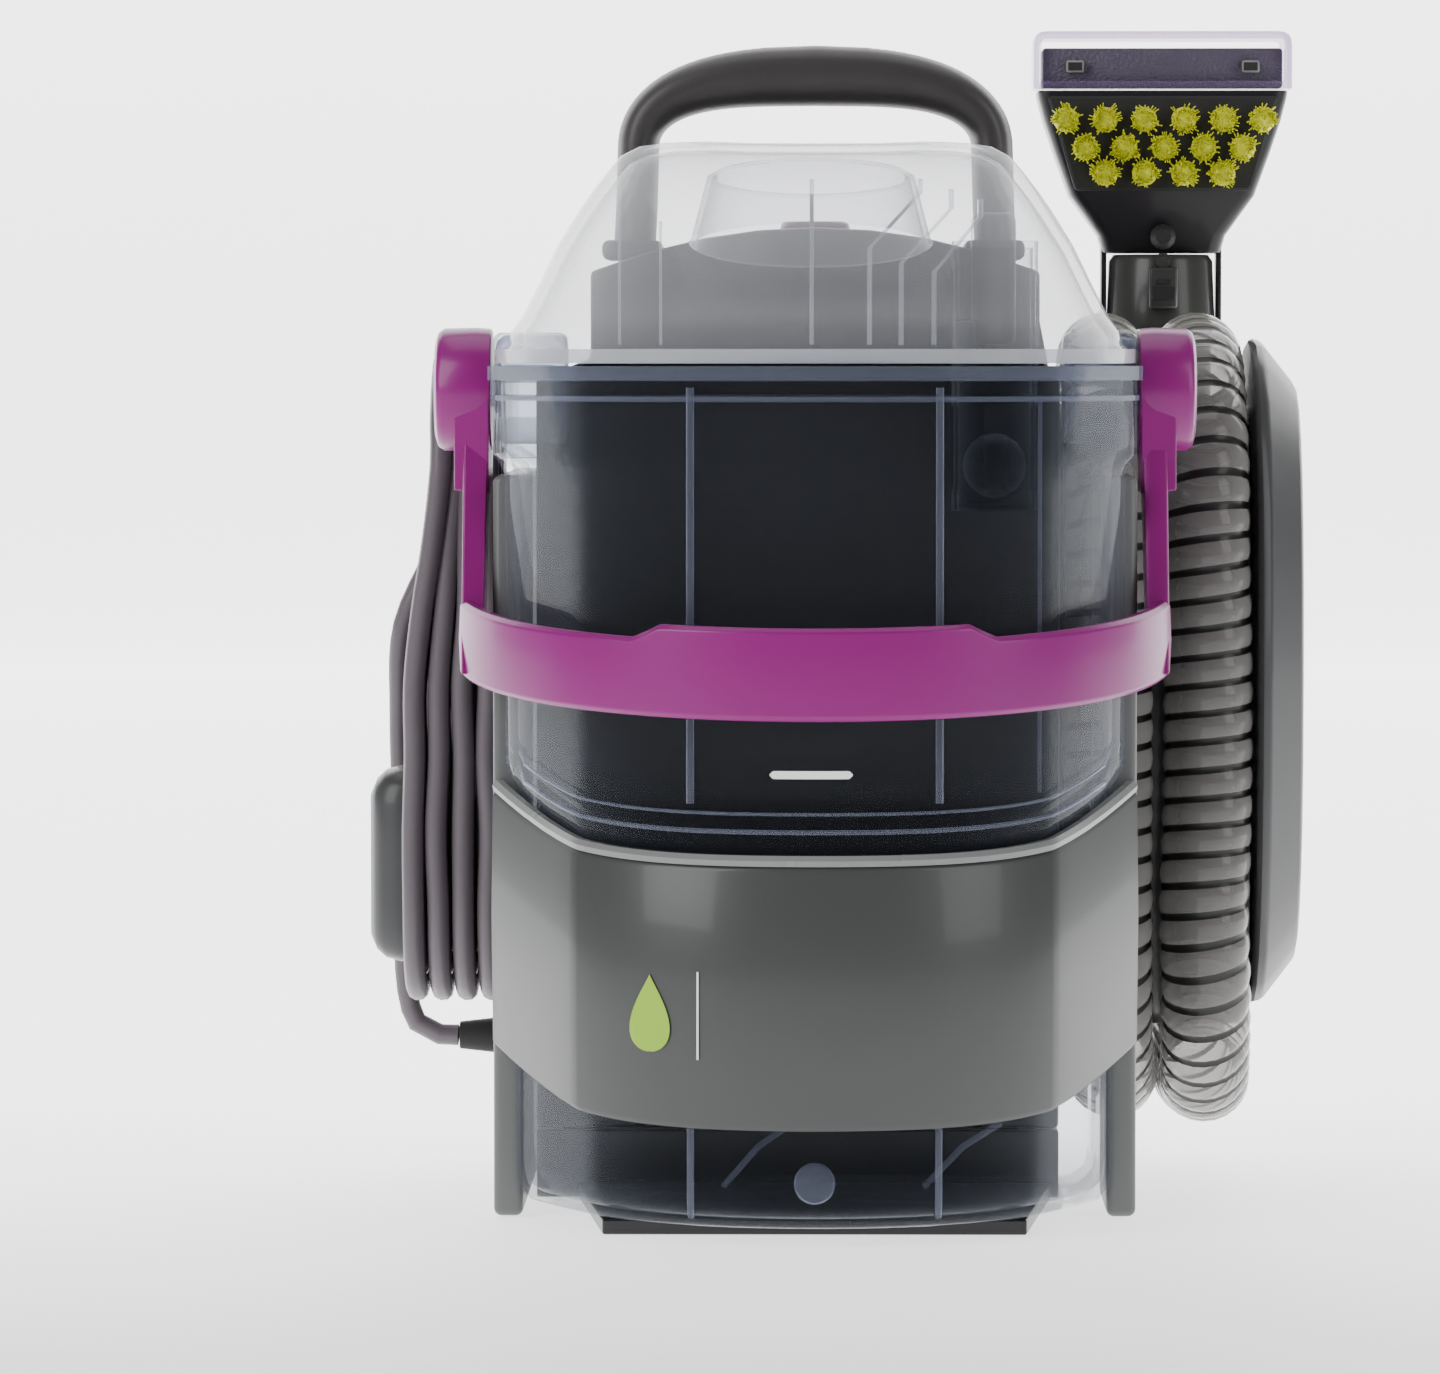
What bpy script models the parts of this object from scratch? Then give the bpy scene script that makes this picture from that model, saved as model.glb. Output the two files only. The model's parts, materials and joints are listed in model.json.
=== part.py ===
"""Portable carpet and upholstery cleaner, as separate pieces.

Metres, +Z up, front at -Y.  The origin is on the floor plane, under the middle
of the fixed body.
"""
import math

import bmesh
import bpy
from mathutils import Matrix, Vector

# ---------------------------------------------------------------- sizes
GAP = 0.0004            # clearance between pieces that touch
WALL = 0.0025           # moulded wall
PAD_DEPTH = 0.0012      # rubber pads let into the underside of the base
TONGUE_H = 0.0044       # tongue under the front tank

BASE_WALL_H = 0.020
PAD_R = 0.008
SCREW_R = 0.0035
PAD_SPOTS = {"front_left": (-0.048, -0.116), "front_right": (0.048, -0.116),
             "rear_left": (-0.060, 0.122), "rear_right": (0.044, 0.122)}
SCREW_SPOTS = ((-0.070, 0.030), (0.060, 0.030))

# plan of the front
FRONT_Y = -0.168        # outermost front face of the fascia
ARC_R = 0.092           # radius of the front face
CREASE_X = 0.068        # half width where the front face turns into the sides
SIDE_X = 0.0925         # half width of the machine's body
PILLAR_Y = -0.089       # front edge of the side walls
PILLAR_T = 0.0085       # thickness of the side walls

# heights
BAND_Z = (0.0335, 0.110)    # fascia, lower and upper edge at the middle
BAND_RISE = 0.0175          # how much both edges rise towards the sides
BAND_T = 0.003
TANK_Z = 0.005
SEAM_Z = 0.2455             # rim of the dirty tank
LID_H = 0.0635
DOME_H = 0.0405             # top of the body above the seam
HANDLE_H = 0.0945           # top of the carry handle above the seam

# depth
TANK_REAR_Y = -0.040
BODY_Y = (-0.0365, 0.010, 0.058)
BODY_X = (-0.082, 0.072)
CLEAN_Y = (0.062, 0.140)
CLEAN_X = (-0.080, 0.064)

# dirty tank
TANK_INSET = 0.005          # tank inside the fascia
LEDGE_GAP = 0.002
SHOULDER_DROP = 0.0295      # the wide shoulder starts this far below the seam
PIVOT = (-0.060, -0.007)    # y, and z from the seam
PIN_R = 0.005
BAIL_R = SIDE_X + 0.0085    # plan radius of the bail's band
BAIL_T = 0.005
BAIL_BAND_H = 0.022
BAIL_DROP = 0.080           # pivot to the middle of the band
CAP_R = 0.018
CAP_T = 0.0165

# motor and fan
MOTOR_R = 0.036
MOTOR_Z = (0.092, 0.165)
FAN_R = 0.038
FAN_Z = (0.048, 0.086)
FAN_AXIS = (-0.005, 0.0105)
SHAFT_R = 0.003

# rear tank valve
NECK_R = 0.017
VALVE_AXIS = (-0.008, 0.101)
CLEAN_Z = (0.034, 0.232)

# cord wrap, left side
CORD_D = 0.0066
HOOK_Y = 0.005
HOOK_R = 0.0105
HOOK_Z = (0.086, 0.216)     # hub centres of the lower and upper hook
COIL_R = 0.032              # outer radius of the winding about the hubs

# hose wrap, right side
HOSE_D = 0.027
HUB_Y = 0.036
HUB_R = 0.041
HUB_Z = (0.086, 0.192)
LOOP_R = 0.056
WING_T = 0.015
WING_RISE = 0.0135           # wing above the middle of the hub

# wand and tool
GRIP = (0.109, 0.125)
GRIP_R = 0.016
GRIP_Z = (0.094, 0.252)
TOOL_Z = (0.2565, 0.350)
TOOL_W = 0.081

COLOURS = {
    "grey": ((0.16, 0.165, 0.165, 1), 0.35, 0.0),
    "dark": ((0.03, 0.03, 0.033, 1), 0.45, 0.0),
    "soft": ((0.02, 0.018, 0.018, 1), 0.6, 0.0),
    "clear": ((0.75, 0.78, 0.82, 1), 0.08, 0.0),
    "frost": ((0.85, 0.86, 0.88, 1), 0.25, 0.0),
    "violet": ((0.35, 0.012, 0.24, 1), 0.25, 0.0),
    "rubber": ((0.02, 0.02, 0.02, 1), 0.8, 0.0),
    "steel": ((0.6, 0.6, 0.6, 1), 0.3, 1.0),
    "copper": ((0.55, 0.28, 0.14, 1), 0.35, 1.0),
    "green": ((0.5, 0.55, 0.03, 1), 0.7, 0.0),
    "cord": ((0.12, 0.11, 0.12, 1), 0.55, 0.0),
    "white": ((0.8, 0.8, 0.8, 1), 0.4, 0.0),
}

# ---------------------------------------------------------------- set-up
for old in list(bpy.data.objects):
    bpy.data.objects.remove(old, do_unlink=True)
PARTS = bpy.data.collections.new("carpet_cleaner")
CUTTERS = bpy.data.collections.new("cutters")
bpy.context.scene.collection.children.link(PARTS)
bpy.context.scene.collection.children.link(CUTTERS)


def material(name, colour):
    """A Principled material for one piece."""
    rgba, rough, metal = COLOURS[colour]
    mat = bpy.data.materials.new(name)
    mat.use_nodes = True
    shader = mat.node_tree.nodes["Principled BSDF"]
    shader.inputs["Base Color"].default_value = rgba
    shader.inputs["Roughness"].default_value = rough
    shader.inputs["Metallic"].default_value = metal
    return mat


def place(name, data, colour):
    """Link new object data as a part, or as a cutter when colour is None."""
    obj = bpy.data.objects.new(name, data)
    if colour is None:
        CUTTERS.objects.link(obj)
        obj.hide_render = True
        obj.display_type = 'WIRE'
        return obj
    PARTS.objects.link(obj)
    obj.data.materials.append(material(name, colour))
    return obj


def from_bmesh(name, bm, colour):
    """Turn a bmesh into an object with its faces pointing outwards."""
    bmesh.ops.recalc_face_normals(bm, faces=bm.faces)
    mesh = bpy.data.meshes.new(name)
    bm.to_mesh(mesh)
    bm.free()
    return place(name, mesh, colour)


def loft(name, rings, colour, ring_closed=False):
    """Skin over rings of points; capped, or joined end to end."""
    bm = bmesh.new()
    verts = [[bm.verts.new(p) for p in ring] for ring in rings]
    count = len(rings[0])
    pairs = list(zip(verts, verts[1:]))
    if ring_closed:
        pairs.append((verts[-1], verts[0]))
    for low, high in pairs:
        for i in range(count):
            j = (i + 1) % count
            bm.faces.new((low[i], low[j], high[j], high[i]))
    if not ring_closed:
        bm.faces.new(verts[0])
        bm.faces.new(verts[-1])
    return from_bmesh(name, bm, colour)


def prism(name, outline, low, high, colour, axis="Z"):
    """A flat outline pushed along an axis from low to high."""
    turn = {"Z": lambda a, b, h: (a, b, h),
            "X": lambda a, b, h: (h, a, b),
            "Y": lambda a, b, h: (a, h, b)}[axis]
    rings = [[turn(a, b, h) for a, b in outline] for h in (low, high)]
    return loft(name, rings, colour)


def box(name, low, high, colour, bevel=0.0):
    """A block between two corners, with rounded edges."""
    bm = bmesh.new()
    size = [b - a for a, b in zip(low, high)]
    middle = [(a + b) / 2 for a, b in zip(low, high)]
    bmesh.ops.create_cube(bm, size=1.0, matrix=Matrix.Translation(middle) @ Matrix.Diagonal(size + [1]))
    obj = from_bmesh(name, bm, colour)
    if bevel:
        mod = obj.modifiers.new("edge", 'BEVEL')
        mod.width = bevel
        mod.segments = 2
    return obj


AXES = {"Z": (0, 0, 0), "X": (0, math.pi / 2, 0), "Y": (-math.pi / 2, 0, 0)}


def lathe(name, profile, centre, colour, axis="Z", steps=24, ring=False):
    """Turn a profile of (radius, height) about an axis through centre.

    A solid profile starts and ends on the axis; a ring profile is a loop.
    """
    mesh = bpy.data.meshes.new(name)
    edges = [(i, i + 1) for i in range(len(profile) - 1)]
    if ring:
        edges.append((len(profile) - 1, 0))
    mesh.from_pydata([(r, 0, h) for r, h in profile], edges, [])
    obj = place(name, mesh, colour)
    mod = obj.modifiers.new("turn", 'SCREW')
    mod.steps = steps
    mod.render_steps = steps
    mod.use_merge_vertices = True
    mod.merge_threshold = 0.00001
    obj.location = centre
    obj.rotation_euler = AXES[axis]
    return obj


def rod(name, radius, low, high, centre, colour, axis="Z", steps=24):
    """A plain cylinder from low to high along an axis."""
    profile = [(0, high), (radius, high), (radius, low), (0, low)]
    return lathe(name, profile, centre, colour, axis, steps)


def ring(name, outer, inner, low, high, centre, colour, axis="Z", steps=24):
    """A washer or sleeve."""
    profile = [(outer, high), (outer, low), (inner, low), (inner, high)]
    return lathe(name, profile, centre, colour, axis, steps, ring=True)


def tube(name, points, radius, colour, resolution=2):
    """A round tube along points, with flat ends."""
    curve = bpy.data.curves.new(name, 'CURVE')
    curve.dimensions = '3D'
    curve.bevel_depth = radius
    curve.bevel_resolution = resolution
    curve.use_fill_caps = True
    spline = curve.splines.new('POLY')
    spline.points.add(len(points) - 1)
    for point, place_ in zip(spline.points, points):
        point.co = (*place_, 1)
    return place(name, curve, colour)


def combine(target, tool, operation):
    """Boolean with an object that is then a hidden cutter."""
    if tool.name in PARTS.objects:
        PARTS.objects.unlink(tool)
        CUTTERS.objects.link(tool)
    tool.hide_render = True
    tool.display_type = 'WIRE'
    mod = target.modifiers.new(operation.lower(), 'BOOLEAN')
    mod.operation = operation
    mod.solver = 'EXACT'
    mod.object = tool
    return target


def cut(target, tool):
    return combine(target, tool, 'DIFFERENCE')


def join(target, tool):
    return combine(target, tool, 'UNION')


def smooth_path(points, spacing):
    """Catmull-Rom curve through points, read about every spacing."""
    pts = [Vector(p) for p in points]
    pts = [pts[0] * 2 - pts[1]] + pts + [pts[-1] * 2 - pts[-2]]
    out = []
    for a, b, c, d in zip(pts, pts[1:], pts[2:], pts[3:]):
        steps = max(1, round((c - b).length / spacing))
        for i in range(steps):
            t = i / steps
            out.append(0.5 * (2 * b + (c - a) * t + (2 * a - 5 * b + 4 * c - d) * t ** 2
                              + (3 * b - a - 3 * c + d) * t ** 3))
    out.append(pts[-2])
    return [tuple(p) for p in out]


def inset(points, distance):
    """Move a closed counter-clockwise outline inwards."""
    out = []
    count = len(points)
    for i in range(count):
        here = Vector(points[i][:2])
        before = (here - Vector(points[i - 1][:2])).normalized()
        after = (Vector(points[(i + 1) % count][:2]) - here).normalized()
        normal = (Vector((-before.y, before.x)) + Vector((-after.y, after.x))).normalized()
        lean = max(0.5, normal.dot(Vector((-before.y, before.x))))
        moved = here + normal * distance / lean
        out.append((moved.x, moved.y))
    return out


def mirrored(right):
    """Close a right-hand half outline, front to back, on its mirror image."""
    left = [(-x, y) for x, y in reversed(right[1:])]
    return left + right


def racetrack(centre_a, low_b, high_b, radius, steps=8):
    """Outline with round ends, long in its second direction."""
    pts = []
    for middle, start in ((low_b, math.pi), (high_b, 0.0)):
        for i in range(steps + 1):
            angle = start + math.pi * i / steps
            pts.append((centre_a + radius * math.cos(angle), middle + radius * math.sin(angle)))
    return pts


# ---------------------------------------------------------------- plan of the front
def front_half(offset=0.0, arc_steps=7):
    """Right half of the front: arc, crease and the end of the side face."""
    centre_y = FRONT_Y + ARC_R
    radius = ARC_R - offset
    end = math.asin(CREASE_X / ARC_R)
    pts = []
    for i in range(arc_steps + 1):
        angle = end * i / arc_steps
        pts.append((radius * math.sin(angle), centre_y - radius * math.cos(angle)))
    pts.append((SIDE_X - offset, PILLAR_Y - 0.0023))
    return pts


def edge_rise(y):
    """How far the fascia's edges have risen at depth y."""
    part = (y - FRONT_Y) / (PILLAR_Y - FRONT_Y)
    return BAND_RISE * max(0.0, min(1.0, part)) ** 1.8


def tank_plan(offset, step_x, rear_x, step_y=PILLAR_Y - 0.0012):
    """Whole outline of the dirty tank at one level."""
    right = front_half(offset)
    right += [(step_x, step_y), (step_x, -0.060), (rear_x, TANK_REAR_Y)]
    return mirrored(right)


# ---------------------------------------------------------------- fixed body
def make_base():
    """Floor of the machine with a low wall, and a tongue under the front tank."""
    rear = [(BODY_X[0], BODY_Y[0]), (BODY_X[1], BODY_Y[0]), (BODY_X[1], CLEAN_Y[0]),
            (CLEAN_X[1] + 0.003, CLEAN_Y[1] - 0.02), (CLEAN_X[1] - 0.015, CLEAN_Y[1]),
            (CLEAN_X[0] + 0.015, CLEAN_Y[1]), (CLEAN_X[0] - 0.002, CLEAN_Y[1] - 0.02)]
    pan = prism("base_pan", rear, 0.0, BASE_WALL_H, "dark")
    cut(pan, prism("base_hollow", inset(rear, WALL), WALL, BASE_WALL_H + 0.01, None))
    tongue = [(-0.06, -0.128), (0.06, -0.128), (0.07, BODY_Y[0] + 0.001), (-0.07, BODY_Y[0] + 0.001)]
    join(pan, prism("base_tongue", tongue, 0.0, TONGUE_H, None))
    for x, y in PAD_SPOTS.values():
        cut(pan, rod("pad_pocket", PAD_R + GAP, -0.01, PAD_DEPTH + GAP, (x, y, 0), None, steps=16))
    for x, y in SCREW_SPOTS:
        cut(pan, rod("screw_pocket", SCREW_R + GAP, -0.01, PAD_DEPTH + GAP, (x, y, 0), None, steps=12))


def make_side_walls():
    """Grey walls beside the front tank; the left one runs back to the cord wrap."""
    top = SEAM_Z - SHOULDER_DROP - 0.002
    for side, sign, rear in (("left", -1, BODY_Y[2]), ("right", 1, TANK_REAR_Y + 0.002)):
        inner = sign * (SIDE_X - PILLAR_T)
        outer = sign * SIDE_X
        low = (min(inner, outer), PILLAR_Y, 0.0005)
        high = (max(inner, outer), rear, top)
        box("side_wall_" + side, low, high, "grey", 0.0015)


def make_front_band():
    """Fascia strap across the front, swept round the plan."""
    outer = mirrored(front_half(0.0))
    inner = mirrored(front_half(BAND_T))
    sections = []
    for (ox, oy), (ix, iy) in zip(outer, inner):
        rise = edge_rise(oy)
        low = BAND_Z[0] + rise
        high = BAND_Z[1] + rise
        sections.append([(ox, oy, low), (ox, oy, high - 0.003), (ix * 0.4 + ox * 0.6, iy * 0.4 + oy * 0.6, high),
                         (ix, iy, high), (ix, iy, low)])
    loft("front_band", sections, "grey")


def body_outline(shrink=0.0):
    """Front view of the body shells: shoulders and a low domed top."""
    shoulder = SEAM_Z - 0.004
    dome_x = 0.066
    pts = [(BODY_X[0] + shrink, BASE_WALL_H + 0.0006 + shrink), (BODY_X[1] - shrink, BASE_WALL_H + 0.0006 + shrink),
           (BODY_X[1] - shrink, shoulder - shrink), (dome_x - shrink, shoulder + 0.006 - shrink)]
    top = SEAM_Z + DOME_H
    for i in range(9):
        x = (dome_x - shrink) * (1 - i / 4)
        pts.append((x, top - shrink - 0.013 * (x / dome_x) ** 2))
    pts += [(-dome_x + shrink, shoulder + 0.006 - shrink), (BODY_X[0] + shrink, shoulder - shrink)]
    return pts


def make_body_shells():
    """Front and rear halves of the housing, open towards each other."""
    outer = body_outline()
    hollow = body_outline(WALL)
    front = prism("body_front_shell", outer, BODY_Y[0], BODY_Y[1], "dark", "Y")
    cut(front, prism("front_hollow", hollow, BODY_Y[0] + WALL, BODY_Y[1] + 0.01, None, "Y"))
    rear = prism("body_rear_shell", outer, BODY_Y[1] + GAP, BODY_Y[2], "grey", "Y")
    cut(rear, prism("rear_hollow", hollow, BODY_Y[1] - 0.01, BODY_Y[2] - WALL, None, "Y"))
    button_hole = rod("button_hole", BUTTON_R + 0.0006, -0.02, 0.02, BUTTON, None)
    cut(rear, button_hole)


BUTTON_R = 0.0105
BUTTON = (0.0, 0.040, SEAM_Z + DOME_H)


def make_handle():
    """Carry handle: one arch with wide oval section on the dome."""
    top = SEAM_Z + HANDLE_H
    foot = SEAM_Z + DOME_H - 0.0055
    half = 0.0525
    path = [(half, foot)]
    for i in range(13):
        angle = math.pi * i / 12
        x = half * math.copysign(abs(math.cos(angle)) ** 0.55, math.cos(angle))
        path.append((x, top - 0.026 + 0.0175 * abs(math.sin(angle)) ** 0.8 - 0.004 * (x / half) ** 2))
    path.append((-half, foot))
    sections = []
    for i, (x, z) in enumerate(path):
        before = Vector(path[max(0, i - 1)])
        after = Vector(path[min(len(path) - 1, i + 1)])
        run = (after - before).normalized()
        across = Vector((run.y, -run.x))
        thick = 0.0064 + 0.0024 * (1 - (x / half) ** 2)
        section = []
        for k in range(12):
            a = math.tau * k / 12
            offset = across * thick * math.cos(a)
            section.append((x + offset.x, -0.010 + 0.013 * math.sin(a), z + offset.y))
        sections.append(section)
    loft("carry_handle", sections, "soft")


# ---------------------------------------------------------------- dirty tank, lid and bail
def tank_rings(wall):
    """Outer rings of the tank, bottom to top, moved inwards by wall."""
    side = SIDE_X - PILLAR_T - 0.0015
    shoulder = SEAM_Z - SHOULDER_DROP
    ledge = BAND_Z[1] + LEDGE_GAP
    levels = [
        (TANK_Z + wall, tank_plan(TANK_INSET + 0.004, side - 0.003, side - 0.003), 0.0),
        (TANK_Z + 0.006 + wall * 0.5, tank_plan(TANK_INSET, side, side), 0.0),
        (ledge - 0.004 + wall, tank_plan(TANK_INSET, side, side), 1.0),
        (ledge + 0.002 + wall, tank_plan(0.0006, side, side), 1.0),
        (shoulder - 0.002 + wall, tank_plan(0.0004, side, side), 0.0),
        (shoulder + 0.004 + wall, tank_plan(0.0003, SIDE_X - 0.0003, SIDE_X - 0.006), 0.0),
        (SEAM_Z, tank_plan(0.0003, SIDE_X - 0.0003, SIDE_X - 0.006), 0.0),
    ]
    rings = []
    for z, plan, rise in levels:
        points = inset(plan, wall) if wall else plan
        rings.append([(x, y, z + rise * edge_rise(y)) for x, y in points])
    return rings


def make_dirty_tank():
    outer = tank_rings(0.0)
    inner = tank_rings(WALL)
    loft("dirty_tank", outer + inner[::-1], "clear")


def lid_rings(wall):
    """Rings of the domed lid, rim to top."""
    levels = [(0.0, 0.0905, -0.1655, -0.0405), (0.009, 0.0880, -0.163, -0.0405),
              (0.0135, 0.0840, -0.158, -0.041), (0.034, 0.0745, -0.141, -0.042),
              (0.050, 0.0640, -0.120, -0.043), (0.058, 0.0580, -0.104, -0.045),
              (LID_H - 0.0008, 0.0500, -0.090, -0.049), (LID_H, 0.0440, -0.084, -0.052)]
    rings = []
    for rise, half, front, rear in levels:
        right = []
        middle = rear - 0.032
        for i in range(9):
            angle = math.pi / 2 * i / 8
            right.append(((half - wall) * math.sin(angle) ** 0.85,
                          middle - (middle - front - wall) * math.cos(angle) ** 0.85))
        right += [(half - wall, middle + 0.012), (half - wall - 0.003, rear - 0.004), (half - wall - 0.007, rear - wall)]
        z = SEAM_Z + 0.0006 + rise - (wall if rise > 0.001 else 0.0)
        rings.append([(x, y, z) for x, y in mirrored(right)])
    return rings


def make_lid():
    outer = lid_rings(0.0)
    inner = lid_rings(WALL)
    lid = loft("tank_lid", outer[::-1] + inner, "frost")
    mouth = tank_plan(0.0003, SIDE_X - 0.0003, SIDE_X - 0.006)
    gasket = inset(mouth, WALL + 0.0008)
    inner_edge = inset(gasket, 0.003)
    low = SEAM_Z - 0.0035
    high = SEAM_Z - 0.0002
    rings = [[(x, y, low) for x, y in gasket], [(x, y, low) for x, y in inner_edge],
             [(x, y, high) for x, y in inner_edge], [(x, y, high) for x, y in gasket]]
    loft("lid_gasket", rings, "rubber", ring_closed=True)
    return lid


FLOAT_AXIS = (0.052, -0.066)


def make_float():
    """Cage that hangs under the lid, with the shut-off ball inside."""
    high = SEAM_Z + 0.036
    low = SEAM_Z - 0.042
    profile = [(0.0, high), (0.0125, high), (0.0125, low), (0.0110, low), (0.0110, high - 0.002), (0.0, high - 0.002)]
    cage = lathe("float_cage", profile, (*FLOAT_AXIS, 0), "clear", steps=16)
    for number, turn in enumerate((0, math.pi / 2)):
        slot = box("cage_slot_%d" % number, (-0.02, -0.003, low + 0.006), (0.02, 0.003, low + 0.030), None)
        slot.location = (*FLOAT_AXIS, 0)
        slot.rotation_euler = (0, 0, turn)
        cut(cage, slot)
    stop = box("cage_bar", (-0.0115, -0.0012, low), (0.0115, 0.0012, low + 0.002), None)
    stop.location = (*FLOAT_AXIS, 0)
    join(cage, stop)
    bm = bmesh.new()
    bmesh.ops.create_uvsphere(bm, u_segments=14, v_segments=8, radius=0.0095,
                              matrix=Matrix.Translation((*FLOAT_AXIS, low + 0.013)))
    from_bmesh("float_ball", bm, "white")


def make_bail():
    """Swinging carry bail of the tank, with its two round hubs."""
    pivot_y = PIVOT[0]
    pivot_z = SEAM_Z + PIVOT[1]
    centre_y = FRONT_Y - 0.0045 + BAIL_R - 0.0025
    arm_x = SIDE_X + 0.0055
    right = []
    for i in range(11):
        angle = math.radians(79) * i / 10
        right.append((BAIL_R * math.sin(angle), centre_y - BAIL_R * math.cos(angle), i / 10))
    sections = []
    for x, y, part in right:
        out = Vector((x, y - centre_y)).normalized() * BAIL_T / 2
        middle = pivot_z - BAIL_DROP + 0.009 * part ** 2
        pad = 0.004 if part < 0.34 else 0.0
        low = middle - BAIL_BAND_H / 2
        high = middle + BAIL_BAND_H / 2 + pad
        sections.append([(x - out.x, y - out.y, low), (x + out.x, y + out.y, low),
                         (x + out.x, y + out.y, high), (x - out.x, y - out.y, high)])
    band = [[(-x, y, z) for x, y, z in section] for section in reversed(sections[1:])] + sections
    bail = loft("bail", band, "violet")
    end_y = right[-1][1]
    for side in (1, -1):
        inner = side * arm_x - 0.0032
        outer = side * arm_x + 0.0032
        arm = [(end_y - 0.007, pivot_z - BAIL_DROP), (end_y + 0.008, pivot_z - BAIL_DROP + 0.001),
               (pivot_y + 0.012, pivot_z - 0.006), (pivot_y - 0.012, pivot_z - 0.006)]
        join(bail, prism("bail_arm", arm, inner, outer, None, "X"))
        start = side * (SIDE_X + 0.0012)
        cap = rod("bail_cap", CAP_R, min(start, start + side * CAP_T), max(start, start + side * CAP_T),
                  (0, pivot_y, pivot_z), None, "X")
        join(bail, cap)
        depth = side * (SIDE_X + 0.0140)
        start = side * (SIDE_X - 0.002)
        hole = rod("bail_hole", PIN_R + GAP, min(start, depth), max(start, depth), (0, pivot_y, pivot_z), None, "X", 16)
        cut(bail, hole)
        low_x = side * (SIDE_X + 0.0002)
        high_x = side * (SIDE_X + 0.0130)
        name = "bail_pin_right" if side > 0 else "bail_pin_left"
        rod(name, PIN_R, min(low_x, high_x), max(low_x, high_x), (0, pivot_y, pivot_z), "clear", "X", 16)


# ---------------------------------------------------------------- motor, fan and pump
def make_power_train():
    x, y = FAN_AXIS
    low, high = MOTOR_Z
    profile = [(0, high), (0.012, high), (0.012, high - 0.010), (MOTOR_R, high - 0.014), (MOTOR_R, low + 0.004),
               (MOTOR_R - 0.004, low), (0, low)]
    lathe("vacuum_motor", profile, (x, y, 0), "steel")
    ring("motor_mount", MOTOR_R + 0.005, MOTOR_R + GAP, low + 0.010, low + 0.022, (x, y, 0), "rubber")
    fan_low, fan_high = FAN_Z
    outer = FAN_R + 0.004
    cup = [(outer, fan_high - 0.0024), (outer, fan_low), (0.012, fan_low), (0.012, fan_low + 0.002),
           (FAN_R + 0.002, fan_low + 0.002), (FAN_R + 0.002, fan_high - 0.0024)]
    lathe("fan_housing", cup, (x, y, 0), "dark", ring=True)
    ring("fan_cover", outer, SHAFT_R + 0.002, fan_high - 0.002, fan_high, (x, y, 0), "dark")
    shaft_top = low - GAP
    wheel = [(0, shaft_top), (SHAFT_R, shaft_top), (SHAFT_R, fan_low + 0.026), (FAN_R, fan_low + 0.026),
             (FAN_R, fan_low + 0.0235), (0.010, fan_low + 0.0235), (0.008, fan_low + 0.006), (0, fan_low + 0.006)]
    impeller = lathe("impeller", wheel, (x, y, 0), "steel")
    for i in range(8):
        blade = box("blade_%d" % i, (0.007, -0.0008, fan_low + 0.010), (FAN_R - 0.002, 0.0008, fan_low + 0.0245), None)
        blade.location = (x, y, 0)
        blade.rotation_euler = (0, 0, math.tau * i / 8)
        join(impeller, blade)


def make_plumbing():
    """Suction duct, pump and its two tubes."""
    duct = smooth_path([(-0.062, 0.008, SEAM_Z - 0.0405), (-0.062, 0.008, 0.120), (-0.062, 0.008, 0.060),
                        (-0.050, 0.010, 0.0375), (-0.022, 0.0105, 0.0375)], 0.012)
    tube("suction_duct", duct, 0.009, "dark")
    box("water_pump", (0.042, -0.010, 0.028), (0.066, 0.030, 0.076), "dark", 0.003)
    box("switch_block", (-0.014, 0.030, SEAM_Z - 0.0135), (0.014, 0.050, SEAM_Z + 0.0105), "dark", 0.001)
    inlet = smooth_path([(0.050, 0.0305, 0.036), (0.050, 0.044, 0.036), (0.036, 0.052, 0.034)], 0.006)
    tube("pump_inlet_tube", inlet, 0.003, "clear")
    outlet = smooth_path([(0.054, 0.010, 0.0765), (0.054, 0.010, 0.110), (0.050, 0.014, 0.150)], 0.012)
    tube("pump_outlet_tube", outlet, 0.003, "clear")


def spring(name, centre, radius, length, turns, axis="Z"):
    """Compression spring of round wire."""
    points = []
    per_turn = 10
    for i in range(turns * per_turn + 1):
        a = math.tau * i / per_turn
        points.append((radius * math.cos(a), radius * math.sin(a), length * i / (turns * per_turn)))
    obj = tube(name, points, 0.0005, "steel", 1)
    obj.location = centre
    obj.rotation_euler = AXES[axis]
    return obj


def make_button():
    x, y, top = BUTTON
    profile = [(0, 0.003), (BUTTON_R - 0.001, 0.003), (BUTTON_R, 0.002), (BUTTON_R, -0.006), (0, -0.006)]
    lathe("power_button", profile, (x, y, top), "violet")
    spring("button_spring", (x, y, SEAM_Z + 0.0145), 0.005, top - 0.0068 - SEAM_Z - 0.0145, 4)


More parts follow.
